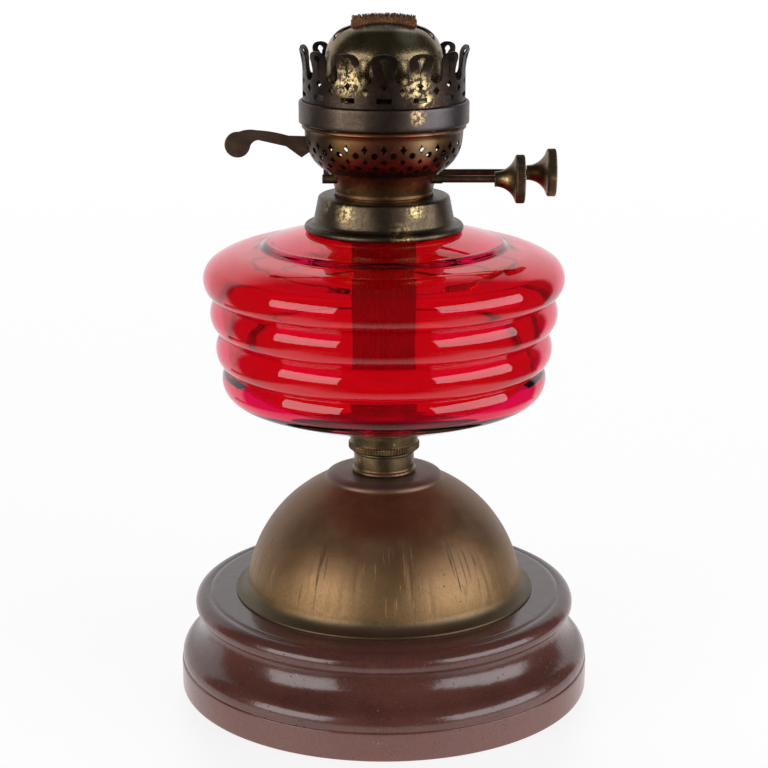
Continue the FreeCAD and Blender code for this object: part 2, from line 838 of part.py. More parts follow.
def make_snuffer():
    """Two sleeves round the wick tubes, joined by a bridge that the lever lifts."""
    wall = S.tube_wall
    for label, side in (("snuffer_sleeve_front", -1), ("snuffer_sleeve_back", 1)):
        flat_tube(label, S.tube_length + wall * 3, S.tube_depth + wall * 3, wall,
                  S.sleeve_bottom, S.sleeve_top, side)
    width = (S.wick_offset - S.tube_depth * 0.5 - wall * 1.5) * 2
    bridge = keep("snuffer_bridge", box("snuffer_bridge", S.bridge_length, width, S.bridge_height))
    place(bridge, -(S.bridge_length * 0.5), -(width * 0.5), S.sleeve_bottom)


def make_lever():
    """Flat extinguisher lever on its pin, with its bracket inside the basket."""
    body = new_body("extinguisher_lever")
    sketch = sketch_on(body, "XZ_Plane", "lever_outline")
    x, z = S.pivot_x, S.pivot_height
    disc, disc_z, radius = S.lever_disc_x, S.lever_disc_height, S.lever_disc_radius
    draw_loop(sketch, [
        (x - 7.3, z - 5.5),
        (x - 4.0, z - 3.2),
        (x, z - 3.0),
        (x + 3.0, z - 1.0, 3.6),
        (S.lever_tip_x - 1.0, S.lever_tip_height - 3.0),
        (S.lever_tip_x - 1.2, S.lever_tip_height, 1.6),
        (x + 2.0, z + 4.0),
        (x - 5.5, z + 3.8),
        (x - 13.0, z + 4.0),
        (x - 27.0, z + 6.4, 60.0),
        (disc + 0.6, disc_z + radius - 0.05, 14.0),
        (disc - radius, disc_z, radius),
        (disc, disc_z - radius, radius),
        (disc + radius - 0.2, disc_z - 1.4, radius),
        (x - 26.0, z + 2.1, -4.0),
        (x - 14.0, z - 0.6),
    ])
    draw_circle(sketch, x, z, S.pivot_radius + 0.1)
    padded(body, sketch, S.lever_thickness, both_ways=True)
    pin_length = S.lever_thickness + 3.6
    pin = keep("lever_pivot", cylinder("lever_pivot", S.pivot_radius, pin_length, V(0, 1, 0)))
    place(pin, S.pivot_x, -(pin_length * 0.5), S.pivot_height)
    make_bracket()


def make_bracket():
    """Two ears hanging from a web above the lever, carrying its pin."""
    body = new_body("lever_bracket")
    gap = S.lever_thickness * 0.5 + 0.45
    ear = 1.0
    sketch = sketch_on(body, "YZ_Plane", "bracket_outline", S.pivot_x - 2.6)
    bottom = S.pivot_height - 2.3
    top = S.pivot_height + 7.1
    draw_loop(sketch, [
        (-gap - ear, bottom),
        (-gap, bottom),
        (-gap, top - ear),
        (gap, top - ear),
        (gap, bottom),
        (gap + ear, bottom),
        (gap + ear, top),
        (-gap - ear, top),
    ])
    padded(body, sketch, 5.6)
    hole = sketch_on(body, "XZ_Plane", "bracket_hole")
    draw_circle(hole, S.pivot_x, S.pivot_height, S.pivot_radius + 0.02)
    pocket(body, hole, 12.0, both_ways=True)


# ---------------------------------------------------------------- the gallery


def make_band():
    """Plain ring at the foot of the gallery, over the rim of the basket."""
    inner = S.crown_radius + 0.2
    turned("gallery_band", [
        (inner, S.band_bottom),
        (S.band_radius - 0.7, S.band_bottom),
        (S.band_radius, S.band_bottom + 0.9, 0.9),
        (S.band_radius, S.band_top - 1.0),
        (S.band_radius - 0.7, S.band_top, 1.0),
        (inner, S.band_top),
    ])


def make_crown():
    """Pierced coronet whose arches spring outwards at their tips."""
    wall = S.crown_wall
    inner = S.crown_radius - wall
    body = turned("gallery_crown", [
        (inner, S.crown_foot),
        (S.crown_radius, S.crown_foot),
        (S.crown_radius, S.crown_bend),
        (S.crown_tip_radius, S.crown_top, -38.3),
        (S.crown_tip_radius - wall, S.crown_top + 0.1),
        (inner, S.crown_bend, 38.9),
    ])
    band = S.band_top
    half_step = math.radians(180.0 / CROWN_MOTIFS)
    gap = S.crown_radius * math.sin(half_step)
    windows = sketch_on(body, "XZ_Plane", "crown_windows")
    draw_box(windows, 0, band + 3.3, 3.2, 1.05)
    draw_star(windows, 0, band + 9.1, 1.7, 1.9, 0.75)
    draw_loop(windows, [
        (0, band + 11.6),
        (0.75, band + 16.0),
        (2.0, band + 19.0, -4.0),
        (-2.0, band + 19.0, 2.02),
        (-0.75, band + 16.0, -4.0),
    ])
    draw_star(windows, gap, band + 6.9, 1.8, 1.85, 0.9)
    draw_loop(windows, [
        (gap, band + 9.8, 3.5),
        (gap + 3.3, band + 13.2, 3.5),
        (gap + 2.7, band + 16.8, 7.0),
        (gap + 1.5, band + 19.6, -6.0),
        (gap + 4.2, S.crown_top + 0.6, -4.6),
        (gap - 4.2, S.crown_top + 0.6),
        (gap - 1.5, band + 19.6, -4.6),
        (gap - 2.7, band + 16.8, -6.0),
        (gap - 3.3, band + 13.2, 7.0),
    ])
    around(body, pocket(body, windows, S.foot_radius), CROWN_MOTIFS)


def make_seat():
    """Pierced ring between cone and crown, where the glass chimney stands."""
    under = S.seat_height - S.seat_thickness
    body = turned("gallery_plate", [
        (S.cone_radius + 0.1, under),
        (S.crown_radius - S.crown_wall - 0.1, under),
        (S.crown_radius - S.crown_wall - 0.1, S.seat_height),
        (S.cone_radius + 0.1, S.seat_height),
    ])
    hole = sketch_on(body, "XY_Plane", "seat_hole", S.seat_height + 1.0)
    draw_circle(hole, (S.cone_radius + S.crown_radius) * 0.5 + 0.8, 0, 1.5)
    around(body, pocket(body, hole, S.seat_thickness + 2.0), SEAT_HOLES)


def make_cone():
    """Domed air deflector with a slot over each wick."""
    wall = S.cone_wall
    foot = S.seat_height - S.seat_thickness - 0.1
    top = S.cone_top
    body = turned("cone", [
        (S.cone_radius - wall, foot - 0.8),
        (S.cone_radius + 3.2, foot - 0.8),
        (S.cone_radius + 3.2, foot),
        (S.cone_radius, foot),
        (S.cone_radius, top - 19.3),
        (S.cone_radius - 0.8, top - 13.3, 30.0),
        (S.cone_radius - 3.4, top - 7.5, 13.0),
        (S.cone_radius - 9.7, top - 3.0, 11.0),
        (1.0, top, 41.0),
        (0, top),
        (0, top - wall),
        (1.0, top - wall),
        (S.cone_radius - 10.0, top - 3.55, -40.4),
        (S.cone_radius - 3.9, top - 7.75, -10.4),
        (S.cone_radius - 1.4, top - 13.4, -12.4),
        (S.cone_radius - wall, top - 19.3, -29.4),
    ])
    slots = sketch_on(body, "XY_Plane", "cone_slots", top + 1.0)
    for side in (1, -1):
        draw_box(slots, 0, S.wick_offset * side, S.cone_slot_length * 0.5, S.cone_slot_width * 0.5)
    pocket(body, slots, 15.0)


# ---------------------------------------------------------------- output


def check_all():
    """Stop if any object failed or any sub-part has no valid shape."""
    for thing in doc.Objects:
        if "Invalid" in thing.State or "Error" in thing.State:
            raise ValueError("%s failed: %s" % (thing.Name, thing.State))
    for label, thing in parts.items():
        if thing.Shape.isNull() or not thing.Shape.isValid():
            raise ValueError(label + " has no valid shape")


def write_steps():
    """Write each sub-part to a file named after its node."""
    os.makedirs("parts", exist_ok=True)
    for label, thing in parts.items():
        thing.Shape.exportStep(os.path.join("parts", label + ".step"))
        solids = len(thing.Shape.Solids)
        print("%-22s %2d solid(s) %10.1f mm3" % (label, solids, thing.Shape.Volume))


write_sheet()
make_foot()
make_dome()
make_clamp()
make_neck_socket()
make_peg()
make_font()
make_collar()
make_cup()
make_wick_tubes()
make_basket()
make_bushes()
make_winders()
make_wicks()
make_snuffer()
make_lever()
make_band()
make_crown()
make_seat()
make_cone()
doc.recompute()
check_all()
write_steps()
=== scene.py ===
import json
import math

import bmesh
import bpy
import numpy as np
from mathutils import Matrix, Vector
from mathutils.geometry import delaunay_2d_cdt


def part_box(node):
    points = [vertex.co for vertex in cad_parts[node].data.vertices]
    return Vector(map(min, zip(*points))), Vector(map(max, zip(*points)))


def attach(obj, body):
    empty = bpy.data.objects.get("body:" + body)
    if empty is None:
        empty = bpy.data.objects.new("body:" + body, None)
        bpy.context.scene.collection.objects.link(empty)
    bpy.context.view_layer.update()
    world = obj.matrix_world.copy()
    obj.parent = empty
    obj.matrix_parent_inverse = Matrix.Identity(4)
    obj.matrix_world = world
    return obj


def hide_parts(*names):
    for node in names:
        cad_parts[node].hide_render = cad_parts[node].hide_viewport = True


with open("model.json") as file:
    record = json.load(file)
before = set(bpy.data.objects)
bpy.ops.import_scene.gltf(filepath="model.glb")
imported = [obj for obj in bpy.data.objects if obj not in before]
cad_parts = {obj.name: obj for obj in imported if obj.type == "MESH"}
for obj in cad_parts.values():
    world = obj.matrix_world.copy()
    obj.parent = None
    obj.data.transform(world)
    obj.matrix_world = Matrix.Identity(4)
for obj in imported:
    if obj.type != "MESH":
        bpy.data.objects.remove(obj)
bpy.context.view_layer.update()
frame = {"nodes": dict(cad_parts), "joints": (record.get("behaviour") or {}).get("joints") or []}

# Oil lamp with a duplex burner. Outlines are in millimetres, as radius and height in the
# row frame, and become metres in the meshes. The front of the lamp faces -Y.

MM = 0.001
FRONT = -90.0          # the angle of -Y, in degrees
CROWN_RADIUS = 35.1    # of the crown where it stands upright
ARCHES = 14
SHEET = 0.6            # thickness of the spun brass


# ---------------------------------------------------------------- outlines


def node_size(node):
    """(outer radius, lowest z, highest z) of a CAD node that is round the axis, in mm."""
    low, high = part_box(node)
    return high.x / MM, low.z / MM, high.z / MM


def arc_points(start, end, radius, step):
    """Points along the shorter arc from start to end, without start; left turns are positive."""
    start, end = np.array(start, float), np.array(end, float)
    chord = end - start
    length = np.hypot(*chord)
    rise = math.sqrt(max(radius * radius - length * length / 4.0, 0.0))
    side = np.array([-chord[1], chord[0]]) / length * math.copysign(rise, radius)
    centre = (start + end) / 2 + side
    first = math.atan2(*(start - centre)[::-1])
    sweep = 2 * math.asin(min(length / 2 / abs(radius), 1.0)) * math.copysign(1, radius)
    count = max(3, math.ceil(abs(sweep * radius) / step))
    angles = first + sweep * np.arange(1, count + 1) / count
    return [tuple(centre + abs(radius) * np.array([math.cos(a), math.sin(a)])) for a in angles]


def trace(corners, step=1.2, closed=True):
    """Points along an outline of (x, y) or (x, y, arc radius) corners, long runs divided."""
    points = []
    count = len(corners)
    for index in range(count if closed else count - 1):
        here, there = corners[index], corners[(index + 1) % count]
        if len(there) == 3:
            points += arc_points(here[:2], there[:2], there[2], step)
        else:
            start, end = np.array(here[:2], float), np.array(there[:2], float)
            parts = max(1, math.ceil(np.hypot(*(end - start)) / (step * 2)))
            points += [tuple(start + (end - start) * k / parts) for k in range(1, parts + 1)]
    return points if closed else [tuple(corners[0][:2])] + points


def distances(profile):
    """How far along an open profile each of its points lies."""
    return np.concatenate([[0], np.cumsum(np.hypot(*np.diff(profile, axis=0).T))])


def soften(points, radius, least_turn=24.0):
    """A closed outline with a short curve at each sharp corner, as worn or formed edges have."""
    result = []
    for index, point in enumerate(points):
        here = np.array(point, float)
        before = np.array(points[index - 1], float) - here
        after = np.array(points[(index + 1) % len(points)], float) - here
        turn = math.degrees(math.acos(np.clip(
            -(before @ after) / (np.hypot(*before) * np.hypot(*after)), -1, 1)))
        if turn < least_turn or here[0] < 1e-6:
            result.append(point)
            continue
        start = here + before / np.hypot(*before) * min(radius, np.hypot(*before) * 0.45)
        end = here + after / np.hypot(*after) * min(radius, np.hypot(*after) * 0.45)
        for k in np.linspace(0, 1, 5):
            result.append(tuple(start * (1 - k) ** 2 + here * 2 * k * (1 - k) + end * k ** 2))
    return result


# ---------------------------------------------------------------- meshes


def finished(name, vertices, faces, sharp=None):
    """A mesh object from points in millimetres: welded, normals outwards, smooth shaded.

    Edges that turn by more than sharp degrees stay sharp, if it is given."""
    mesh = bpy.data.meshes.new(name)
    mesh.from_pydata([Vector(v) * MM for v in vertices], [], faces)
    edit = bmesh.new()
    edit.from_mesh(mesh)
    bmesh.ops.remove_doubles(edit, verts=edit.verts, dist=0.002 * MM)
    bmesh.ops.dissolve_degenerate(edit, edges=edit.edges, dist=0.0005 * MM)
    bmesh.ops.recalc_face_normals(edit, faces=edit.faces)
    edit.to_mesh(mesh)
    edit.free()
    mesh.shade_smooth()
    if sharp is not None:
        mesh.set_sharp_from_angle(angle=math.radians(sharp))
    thing = bpy.data.objects.new(name, mesh)
    bpy.context.scene.collection.objects.link(thing)
    return thing


def ring_faces(rows, columns):
    """Quads of a grid that closes on itself both ways: columns round, rows along the outline."""
    return [(c * rows + r, c * rows + (r + 1) % rows,
             (c + 1) % columns * rows + (r + 1) % rows, (c + 1) % columns * rows + r)
            for c in range(columns) for r in range(rows)]


def lathe(name, outline, turns, wave=None):
    """A closed outline turned about the lamp's axis. wave(angle, r, z) adds to the radius."""
    outline = np.array(outline, float)
    angles = np.arange(turns) * 2 * math.pi / turns
    r, z = outline[:, 0][None, :], outline[:, 1][None, :]
    a = angles[:, None]
    radius = r + (wave(a, r, z) if wave else 0.0) * (r > 0.01)
    points = np.stack(np.broadcast_arrays(radius * np.cos(a), radius * np.sin(a), z), -1)
    return finished(name, points.reshape(-1, 3), ring_faces(len(outline), turns))


def along_x(thing, x, y, z):
    """Turn a lathed piece so that its axis runs along +X from a point in mm, in its mesh."""
    for vertex in thing.data.vertices:
        old = vertex.co.copy()
        vertex.co = Vector((x * MM + old.z, y * MM + old.x, z * MM + old.y))
    return thing


def inside(points, polygon):
    """Which points lie inside a polygon."""
    x, y = points[:, 0], points[:, 1]
    found = np.zeros(len(points), bool)
    for (x0, y0), (x1, y1) in zip(polygon, np.roll(polygon, -1, axis=0)):
        crosses = (y0 > y) != (y1 > y)
        with np.errstate(divide="ignore", invalid="ignore"):
            found ^= crosses & (x < (x1 - x0) * (y - y0) / (y1 - y0) + x0)
    return found


def pierced_sheet(domain, holes, grid):
    """Flat points and triangles of a domain polygon with holes, with grid points between."""
    points, edges = [], []
    for loop in [domain, *holes]:
        first = len(points)
        points += [tuple(p) for p in loop]
        edges += [(first + k, first + (k + 1) % len(loop)) for k in range(len(loop))]
    grid = np.array(grid, float)
    keep = inside(grid, np.array(domain, float))
    for hole in holes:
        keep &= ~inside(grid, np.array(hole, float))
    points += [tuple(p) for p in grid[keep]]
    flat, _, faces, *_ = delaunay_2d_cdt([Vector(p) for p in points], edges, [], 0, 1e-5)
    flat, faces = np.array([tuple(p) for p in flat], float), np.array(faces, int)
    middle = flat[faces].mean(1)
    wanted = inside(middle, np.array(domain, float))
    for hole in holes:
        wanted &= ~inside(middle, np.array(hole, float))
    return flat, faces[wanted]


def thick(name, turn, place, faces):
    """A turned sheet with two sides: place is radius, height and outward normal per point."""
    r, z, normal_r, normal_z = place
    outer, inner = [np.stack([radius * np.cos(turn), radius * np.sin(turn), height], 1)
                    for radius, height in ((r - normal_r * depth, z - normal_z * depth)
                                           for depth in (0.0, SHEET))]
    _, first, same = np.unique(np.round(outer, 3), axis=0, return_index=True, return_inverse=True)
    same = same.reshape(-1)
    outer, inner, faces = outer[first], inner[first], same[faces]
    count = len(outer)
    sides = {}
    for face in faces:
        for a, b in ((face[0], face[1]), (face[1], face[2]), (face[2], face[0])):
            sides[(a, b)] = sides.get((a, b), 0) + 1
    walls = [(a, b, b + count, a + count) for a, b in sides if (b, a) not in sides]
    both = [tuple(f) for f in faces] + [tuple(f[::-1] + count) for f in faces] + walls
    return finished(name, np.concatenate([outer, inner]), both, 40.0)


def along(profile):
    """Gives radius, height and the outward normal at a distance along an open profile."""
    profile = np.array(profile, float)
    reach = distances(profile)
    slope = np.gradient(profile, reach, axis=0)
    normal = np.stack([slope[:, 1], -slope[:, 0]], 1)
    normal /= np.hypot(*normal.T)[:, None]

    def at(distance):
        return [np.interp(distance, reach, column)
                for column in (profile[:, 0], profile[:, 1], normal[:, 0], normal[:, 1])]
    return at, reach[-1]


def pierced_shell(name, profile, holes, seam):
    """A turned sheet with holes. Holes are polygons of (angle in degrees, distance along)."""
    at, length = along(profile)
    columns, row_step = 240, 0.9
    angles = seam + np.arange(columns + 1) * 360.0 / columns
    rows = np.linspace(0, length, math.ceil(length / row_step) + 1)
    domain = [(seam, v) for v in rows[:-1]] + [(a, length) for a in angles[:-1]]
    domain += [(seam + 360.0, v) for v in rows[:0:-1]] + [(a, 0.0) for a in angles[:0:-1]]
    grid = [(a, v) for a in angles[1:-1] for v in rows[1:-1]]
    flat, faces = pierced_sheet(domain, holes, grid)
    return thick(name, np.radians(flat[:, 0]), at(flat[:, 1]), faces)


def star(width, height, waist):
    """A four-pointed star about the origin."""
    tips = [(0, -height), (waist, -waist), (width, 0), (waist, waist)]
    return np.array(tips + [(-x, -y) for x, y in tips], float)


def disc(width, height=None):
    """A round or oval hole about the origin."""
    turn = np.arange(14) * 2 * math.pi / 14
    return np.stack([width * np.cos(turn), (height or width) * np.sin(turn)], 1)


def stack_on(shape, angle, distance, radius):
    """A hole drawn in mm, moved to an angle and a distance along a shell of some radius."""
    shape = np.array(shape, float)
    return np.stack([angle + np.degrees(shape[:, 0] / radius), distance + shape[:, 1]], 1)


def prism(name, outline, low, high, bevel):
    """A plate from an outline in the XZ plane, between two places along Y, edges rounded."""
    count = len(outline)
    points = [(x, y, z) for y in (low, high) for x, z in outline]
    faces = [tuple(range(count)), tuple(range(2 * count - 1, count - 1, -1))]
    faces += [(k, k + count, (k + 1) % count + count, (k + 1) % count) for k in range(count)]
    thing = finished(name, points, faces, 35.0)
    rounding = thing.modifiers.new("rounding", "BEVEL")
    rounding.width = bevel * MM
    rounding.segments = 3
    rounding.limit_method = "ANGLE"
    rounding.angle_limit = math.radians(40)
    return thing


def noise(a, z, seed, waves=5, around=6):
    """Smooth seeded unevenness of about unit size over angle and height."""
    rng = np.random.default_rng(seed)
    total = 0.0
    for _ in range(waves):
        turns = rng.integers(1, around + 1)
        total = total + np.sin(turns * a + rng.uniform(0, 6.3)) * np.sin(
            z * rng.uniform(0.3, 1.0) * 0.12 * 6.3 + rng.uniform(0, 6.3))
    return total / waves


# ---------------------------------------------------------------- materials


class Nodes:
    """Adds nodes to a tree and joins them."""

    def __init__(self, tree):
        self.tree = tree

    def feed(self, socket, value):
        """Give a socket a value, or join it to an output."""
        if isinstance(value, bpy.types.NodeSocket):
            self.tree.links.new(value, socket)
        elif isinstance(value, tuple) and len(value) == 3 and socket.type == "RGBA":
            socket.default_value = (*value, 1.0)
        else:
            socket.default_value = value

    def node(self, kind, *values, out=0, **settings):
        """A node with its inputs in order, or by name where they start with a capital."""
        node = self.tree.nodes.new(kind)
        for name, value in settings.items():
            if not name[0].isupper():
                setattr(node, name, value)
        for index, value in enumerate(values):
            if value is not None:
                self.feed(node.inputs[index], value)
        for name, value in settings.items():
            if name[0].isupper():
                self.feed(node.inputs[name], value)
        return node.outputs[out]

    def split(self, vector):
        """The three parts of a vector."""
        node = self.tree.nodes.new("ShaderNodeSeparateXYZ")
        self.feed(node.inputs[0], vector)
        return node.outputs

    def sum(self, a, b):
        return self.node("ShaderNodeMath", a, b, operation="ADD")

    def times(self, a, b):
        return self.node("ShaderNodeMath", a, b, operation="MULTIPLY")

    def remap(self, source, low, high, least=0.0, most=1.0):
        """The source from low to high, brought smoothly to least to most."""
        return self.node("ShaderNodeMapRange", source, low, high, least, most,
                         interpolation_type="SMOOTHSTEP")

    def mix(self, share, a, b):
        """Colour a at share 0 and colour b at share 1."""
        node = self.tree.nodes.new("ShaderNodeMix")
        node.data_type = "RGBA"
        for index, value in ((0, share), (6, a), (7, b)):
            self.feed(node.inputs[index], value)
        return node.outputs[2]


class Paint(Nodes):
    """A material in the making: adds nodes and joins them to its shader."""

    def __init__(self, name, **settings):
        self.material = bpy.data.materials.new(name)
        self.material.use_nodes = True
        super().__init__(self.material.node_tree)
        self.shader = self.tree.nodes["Principled BSDF"]
        self.use(**settings)
        place = self.tree.nodes.new("ShaderNodeTexCoord").outputs["Object"]
        self.mm = self.node("ShaderNodeVectorMath", place, operation="SCALE", Scale=1 / MM)
        self.x, self.y, self.z = self.split(self.mm)

    def use(self, **sockets):
        """Set shader sockets, to values or to the outputs of nodes."""
        for name, value in sockets.items():
            self.feed(self.shader.inputs[name.replace("_", " ")], value)

    def noise(self, size, detail=4.0, rough=0.55, vector=None, distortion=0.0):
        """Noise with features of about a size in mm, from 0 to 1."""
        return self.node("ShaderNodeTexNoise", Vector=vector or self.mm, Scale=1.0 / size,
                         Detail=detail, Roughness=rough, Distortion=distortion)

    def around(self, stretch_z):
        """A place that runs round the lamp, about 60 mm out, and up by a share of the height."""
        turn = self.node("ShaderNodeMath", self.y, self.x, operation="ARCTAN2")
        return self.node("ShaderNodeCombineXYZ", self.times(turn, 60.0), 0.0,
                         self.times(self.z, stretch_z))

    def spot(self, centre, inner, outer):
        """1 near a point in mm, 0 beyond the outer distance from it."""
        away = self.node("ShaderNodeVectorMath", self.mm, centre, operation="DISTANCE", out=1)
        return self.remap(away, inner, outer, 1.0, 0.0)

    def dots(self, scale, inner, outer, size, low, high):
        """1 in small dots, kept only where a slow noise of some size is high."""
        away = self.node("ShaderNodeTexVoronoi", self.mm, Scale=scale, Randomness=1.0)
        where = self.remap(self.noise(size, 2.0), low, high)
        return self.times(self.remap(away, outer, inner), where)

    def bump(self, height, depth, strength):
        """Raise the surface by height times depth, in mm."""
        self.use(Normal=self.node("ShaderNodeBump", Strength=strength, Distance=depth * MM,
                                  Height=height))


def glaze():
    """Plum-brown salt glaze: thinner and paler low down, with pits and pale specks."""
    p = Paint("stoneware_glaze", Roughness=0.19, IOR=1.6)
    cloud = p.remap(p.noise(22.0, 5.0), 0.35, 0.65)
    grain = p.remap(p.noise(0.9, 3.0, 0.6), 0.35, 0.7)
    deep = p.mix(cloud, (0.088, 0.026, 0.0200), (0.120, 0.037, 0.0290))
    deep = p.mix(p.times(grain, 0.5), deep, (0.150, 0.058, 0.042))
    pale = p.mix(grain, (0.150, 0.052, 0.040), (0.185, 0.068, 0.053))
    edge = p.sum(p.z, p.times(p.noise(9.0, 3.0), 2.0))
    colour = p.mix(p.remap(edge, 15.2, 12.6), deep, pale)
    rim = p.times(p.remap(p.z, 42.5, 44.6), 0.5)
    colour = p.mix(rim, colour, (0.100, 0.048, 0.040))
    colour = p.mix(p.dots(0.27, 0.05, 0.10, 14.0, 0.60, 0.68), colour, (0.42, 0.33, 0.27))
    pits = p.dots(0.42, 0.07, 0.16, 9.0, 0.44, 0.56)
    colour = p.mix(p.times(pits, 0.9), colour, (0.012, 0.006, 0.005))
    p.use(Base_Color=colour)
    skin = p.sum(p.times(p.noise(6.0, 2.0), 0.6), p.times(p.noise(1.3, 2.0), 0.12))
    p.bump(p.sum(skin, p.times(pits, -0.8)), 0.22, 0.9)
    return p.material


def dome_bronze():
    """Lacquered bronze: brown above, golden in front below, with upright creases."""
    p = Paint("dome_bronze", Metallic=0.85, Coat_Weight=0.12, Coat_Roughness=0.35)
    cloud = p.noise(17.0, 5.0, 0.6)
    fine = p.noise(1.1, 4.0, 0.7)
    high = p.remap(p.sum(p.z, p.times(cloud, 16.0)), 58.0, 88.0)
    low_tone = p.mix(p.remap(cloud, 0.38, 0.66), (0.310, 0.182, 0.076), (0.390, 0.232, 0.098))
    low_tone = p.mix(p.times(p.remap(fine, 0.42, 0.72), 0.55), low_tone, (0.190, 0.110, 0.056))
    top_tone = p.mix(p.remap(cloud, 0.35, 0.7), (0.190, 0.098, 0.046), (0.250, 0.142, 0.072))
    colour = p.mix(high, low_tone, top_tone)
    lines = p.noise(1.6, 3.0, 0.55, p.around(0.05), 0.25)
    where = p.times(p.remap(p.noise(15.0, 2.0, 0.5, p.around(0.5)), 0.47, 0.58),
                    p.times(p.remap(p.z, 49.0, 58.0), p.remap(p.z, 83.0, 72.0)))
    crease = p.times(p.remap(lines, 0.58, 0.68), where)
    # The colour darkens along the creases: painted shade in the folds; the bump further down dents
    # them as well.
    colour = p.mix(p.times(crease, 0.55), colour, (0.055, 0.035, 0.022))
    rim = p.remap(p.sum(p.z, p.times(cloud, 4.0)), 54.5, 49.5)
    colour = p.mix(p.times(rim, 0.85), colour, (0.110, 0.085, 0.050))
    top = p.remap(p.z, 96.4, 99.2)
    colour = p.mix(p.times(top, 0.75), colour, (0.180, 0.140, 0.115))
    specks = p.dots(0.35, 0.07, 0.16, 12.0, 0.52, 0.62)
    colour = p.mix(p.times(specks, 0.7), colour, (0.03, 0.022, 0.016))
    rough = p.remap(p.sum(p.times(fine, 0.4), cloud), 0.3, 1.1, 0.40, 0.58)
    p.use(Base_Color=colour, Roughness=rough)
    height = p.sum(p.times(crease, -1.0), p.times(fine, 0.10))
    p.bump(p.sum(height, p.times(specks, -0.4)), 0.30, 0.8)
    return p.material


def tarnished(name, dark, mid, bright, patch=0.60, wear_and_highlight_spots=(), tints_and_painted_light=(), rough=(0.30, 0.50)):
    """Old brass: dark and brown tarnish with bright worn patches, pits and fine scratches.

    patch is how rare the worn patches are. More worn patches can be given as (centre, inner,
    outer);
    on the collar, band and crown they sit where the softboxes shine, so they are also painted
    highlights. Patches of another colour are given as (centre, inner, outer, colour, share); on
    the basket, band and cone some of them are painted highlights and painted reflections. rough is
    the roughness of the smoothest and the coarsest grain. Places are in mm."""
    p = Paint(name, Metallic=1.0)
    cloud = p.noise(8.0, 6.0, 0.65)
    fine = p.noise(0.8, 4.0, 0.7)
    colour = p.mix(p.remap(cloud, 0.34, 0.64), dark, mid)
    colour = p.mix(p.times(p.remap(fine, 0.45, 0.75), 0.45), colour, tuple(c * 0.45 for c in dark))
    # Patches of another colour; on the basket, band and cone some are painted highlights and
    # painted reflections.
    for centre, inner, outer, tint, share in tints_and_painted_light:
        colour = p.mix(p.times(p.spot(centre, inner, outer), share), colour, tint)
    worn = p.remap(p.sum(cloud, p.times(fine, 0.22)), patch + 0.11, patch + 0.17)
    # More worn patches at given places; on the collar, band and crown they sit where the softboxes
    # shine, so the worn mask also holds painted highlights.
    for centre, inner, outer in wear_and_highlight_spots:
        near = p.times(p.spot(centre, inner, outer), p.remap(p.noise(1.6, 5.0, 0.7), 0.46, 0.56))
        worn = p.node("ShaderNodeMath", worn, near, operation="MAXIMUM")
    colour = p.mix(worn, colour, bright)
    grain = p.remap(fine, 0.3, 0.7, *rough)
    p.use(Base_Color=colour, Roughness=p.sum(grain, p.times(worn, -0.08)))
    scratches = p.noise(0.5, 2.0, 0.5, p.around(6.0))
    fine_lines = p.sum(p.times(scratches, 0.2), p.times(worn, 0.3))
    p.bump(p.sum(p.times(fine, 0.5), fine_lines), 0.07, 0.6)
    return p.material


def ruby_glass():
    """Transparent ruby glass with the faint ripple of blown work."""
    p = Paint("ruby_glass", Base_Color=(0.78, 0.002, 0.065), Roughness=0.0, IOR=1.5,
              Transmission_Weight=1.0)
    p.bump(p.noise(16.0, 1.0, 0.3), 0.22, 0.5)
    return p.material


def cotton():
    """Oil-stained cotton: tan above, brown at the charred tip and where it soaks."""
    p = Paint("wick_cotton", Roughness=0.95, Sheen_Weight=0.35, Sheen_Roughness=0.5)
    fine = p.noise(0.45, 4.0, 0.7)
    cloud = p.noise(4.0, 3.0)
    colour = p.mix(p.remap(fine, 0.35, 0.68), (0.115, 0.040, 0.014), (0.44, 0.19, 0.068))
    colour = p.mix(p.times(p.remap(cloud, 0.45, 0.62), 0.55), colour, (0.075, 0.032, 0.016))
    colour = p.mix(p.times(p.remap(p.z, 294.0, 285.0), 0.6), colour, (0.16, 0.085, 0.04))
    colour = p.mix(p.remap(p.z, 222.0, 214.0), colour, (0.74, 0.62, 0.46))
    p.use(Base_Color=colour)
    p.bump(fine, 0.12, 0.8)
    return p.material


def rough_iron():
    """Rusted iron of the clamp."""
    p = Paint("clamp_iron", Metallic=0.7)
    rust = p.remap(p.noise(5.0, 6.0, 0.7), 0.42, 0.6)
    p.use(Base_Color=p.mix(rust, (0.06, 0.05, 0.045), (0.13, 0.045, 0.018)),
          Roughness=p.remap(rust, 0.0, 1.0, 0.5, 0.85))
    p.bump(p.noise(1.0, 5.0), 0.2, 0.8)
    return p.material


def lamp_plaster():
    """Chalky plaster, yellowed by oil."""
    p = Paint("lamp_plaster", Roughness=0.95)
    p.use(Base_Color=p.mix(p.remap(p.noise(3.0, 5.0), 0.4, 0.6), (0.45, 0.38, 0.28),
                           (0.66, 0.60, 0.50)))
    p.bump(p.noise(0.8, 4.0), 0.2, 0.8)
    return p.material


GOLD = (0.58, 0.38, 0.14)
GLAZE = glaze()
DOME = dome_bronze()
# Bright patches in front: worn brass placed where the softboxes shine, so also painted highlights.
COLLAR = tarnished(
    "collar_brass", (0.080, 0.056, 0.037), (0.125, 0.090, 0.058), (0.62, 0.46, 0.22), 0.66,
    [((-18.0, -26.0, 222.0), 1.0, 7.5), ((8.0, -33.0, 213.5), 1.0, 8.0),
     ((14.0, -27.0, 223.5), 0.5, 6.0), ((-26.0, -17.0, 224.0), 0.5, 5.0)])
CUP = tarnished("cup_brass", (0.12, 0.055, 0.026), (0.22, 0.12, 0.050), GOLD, 0.62)
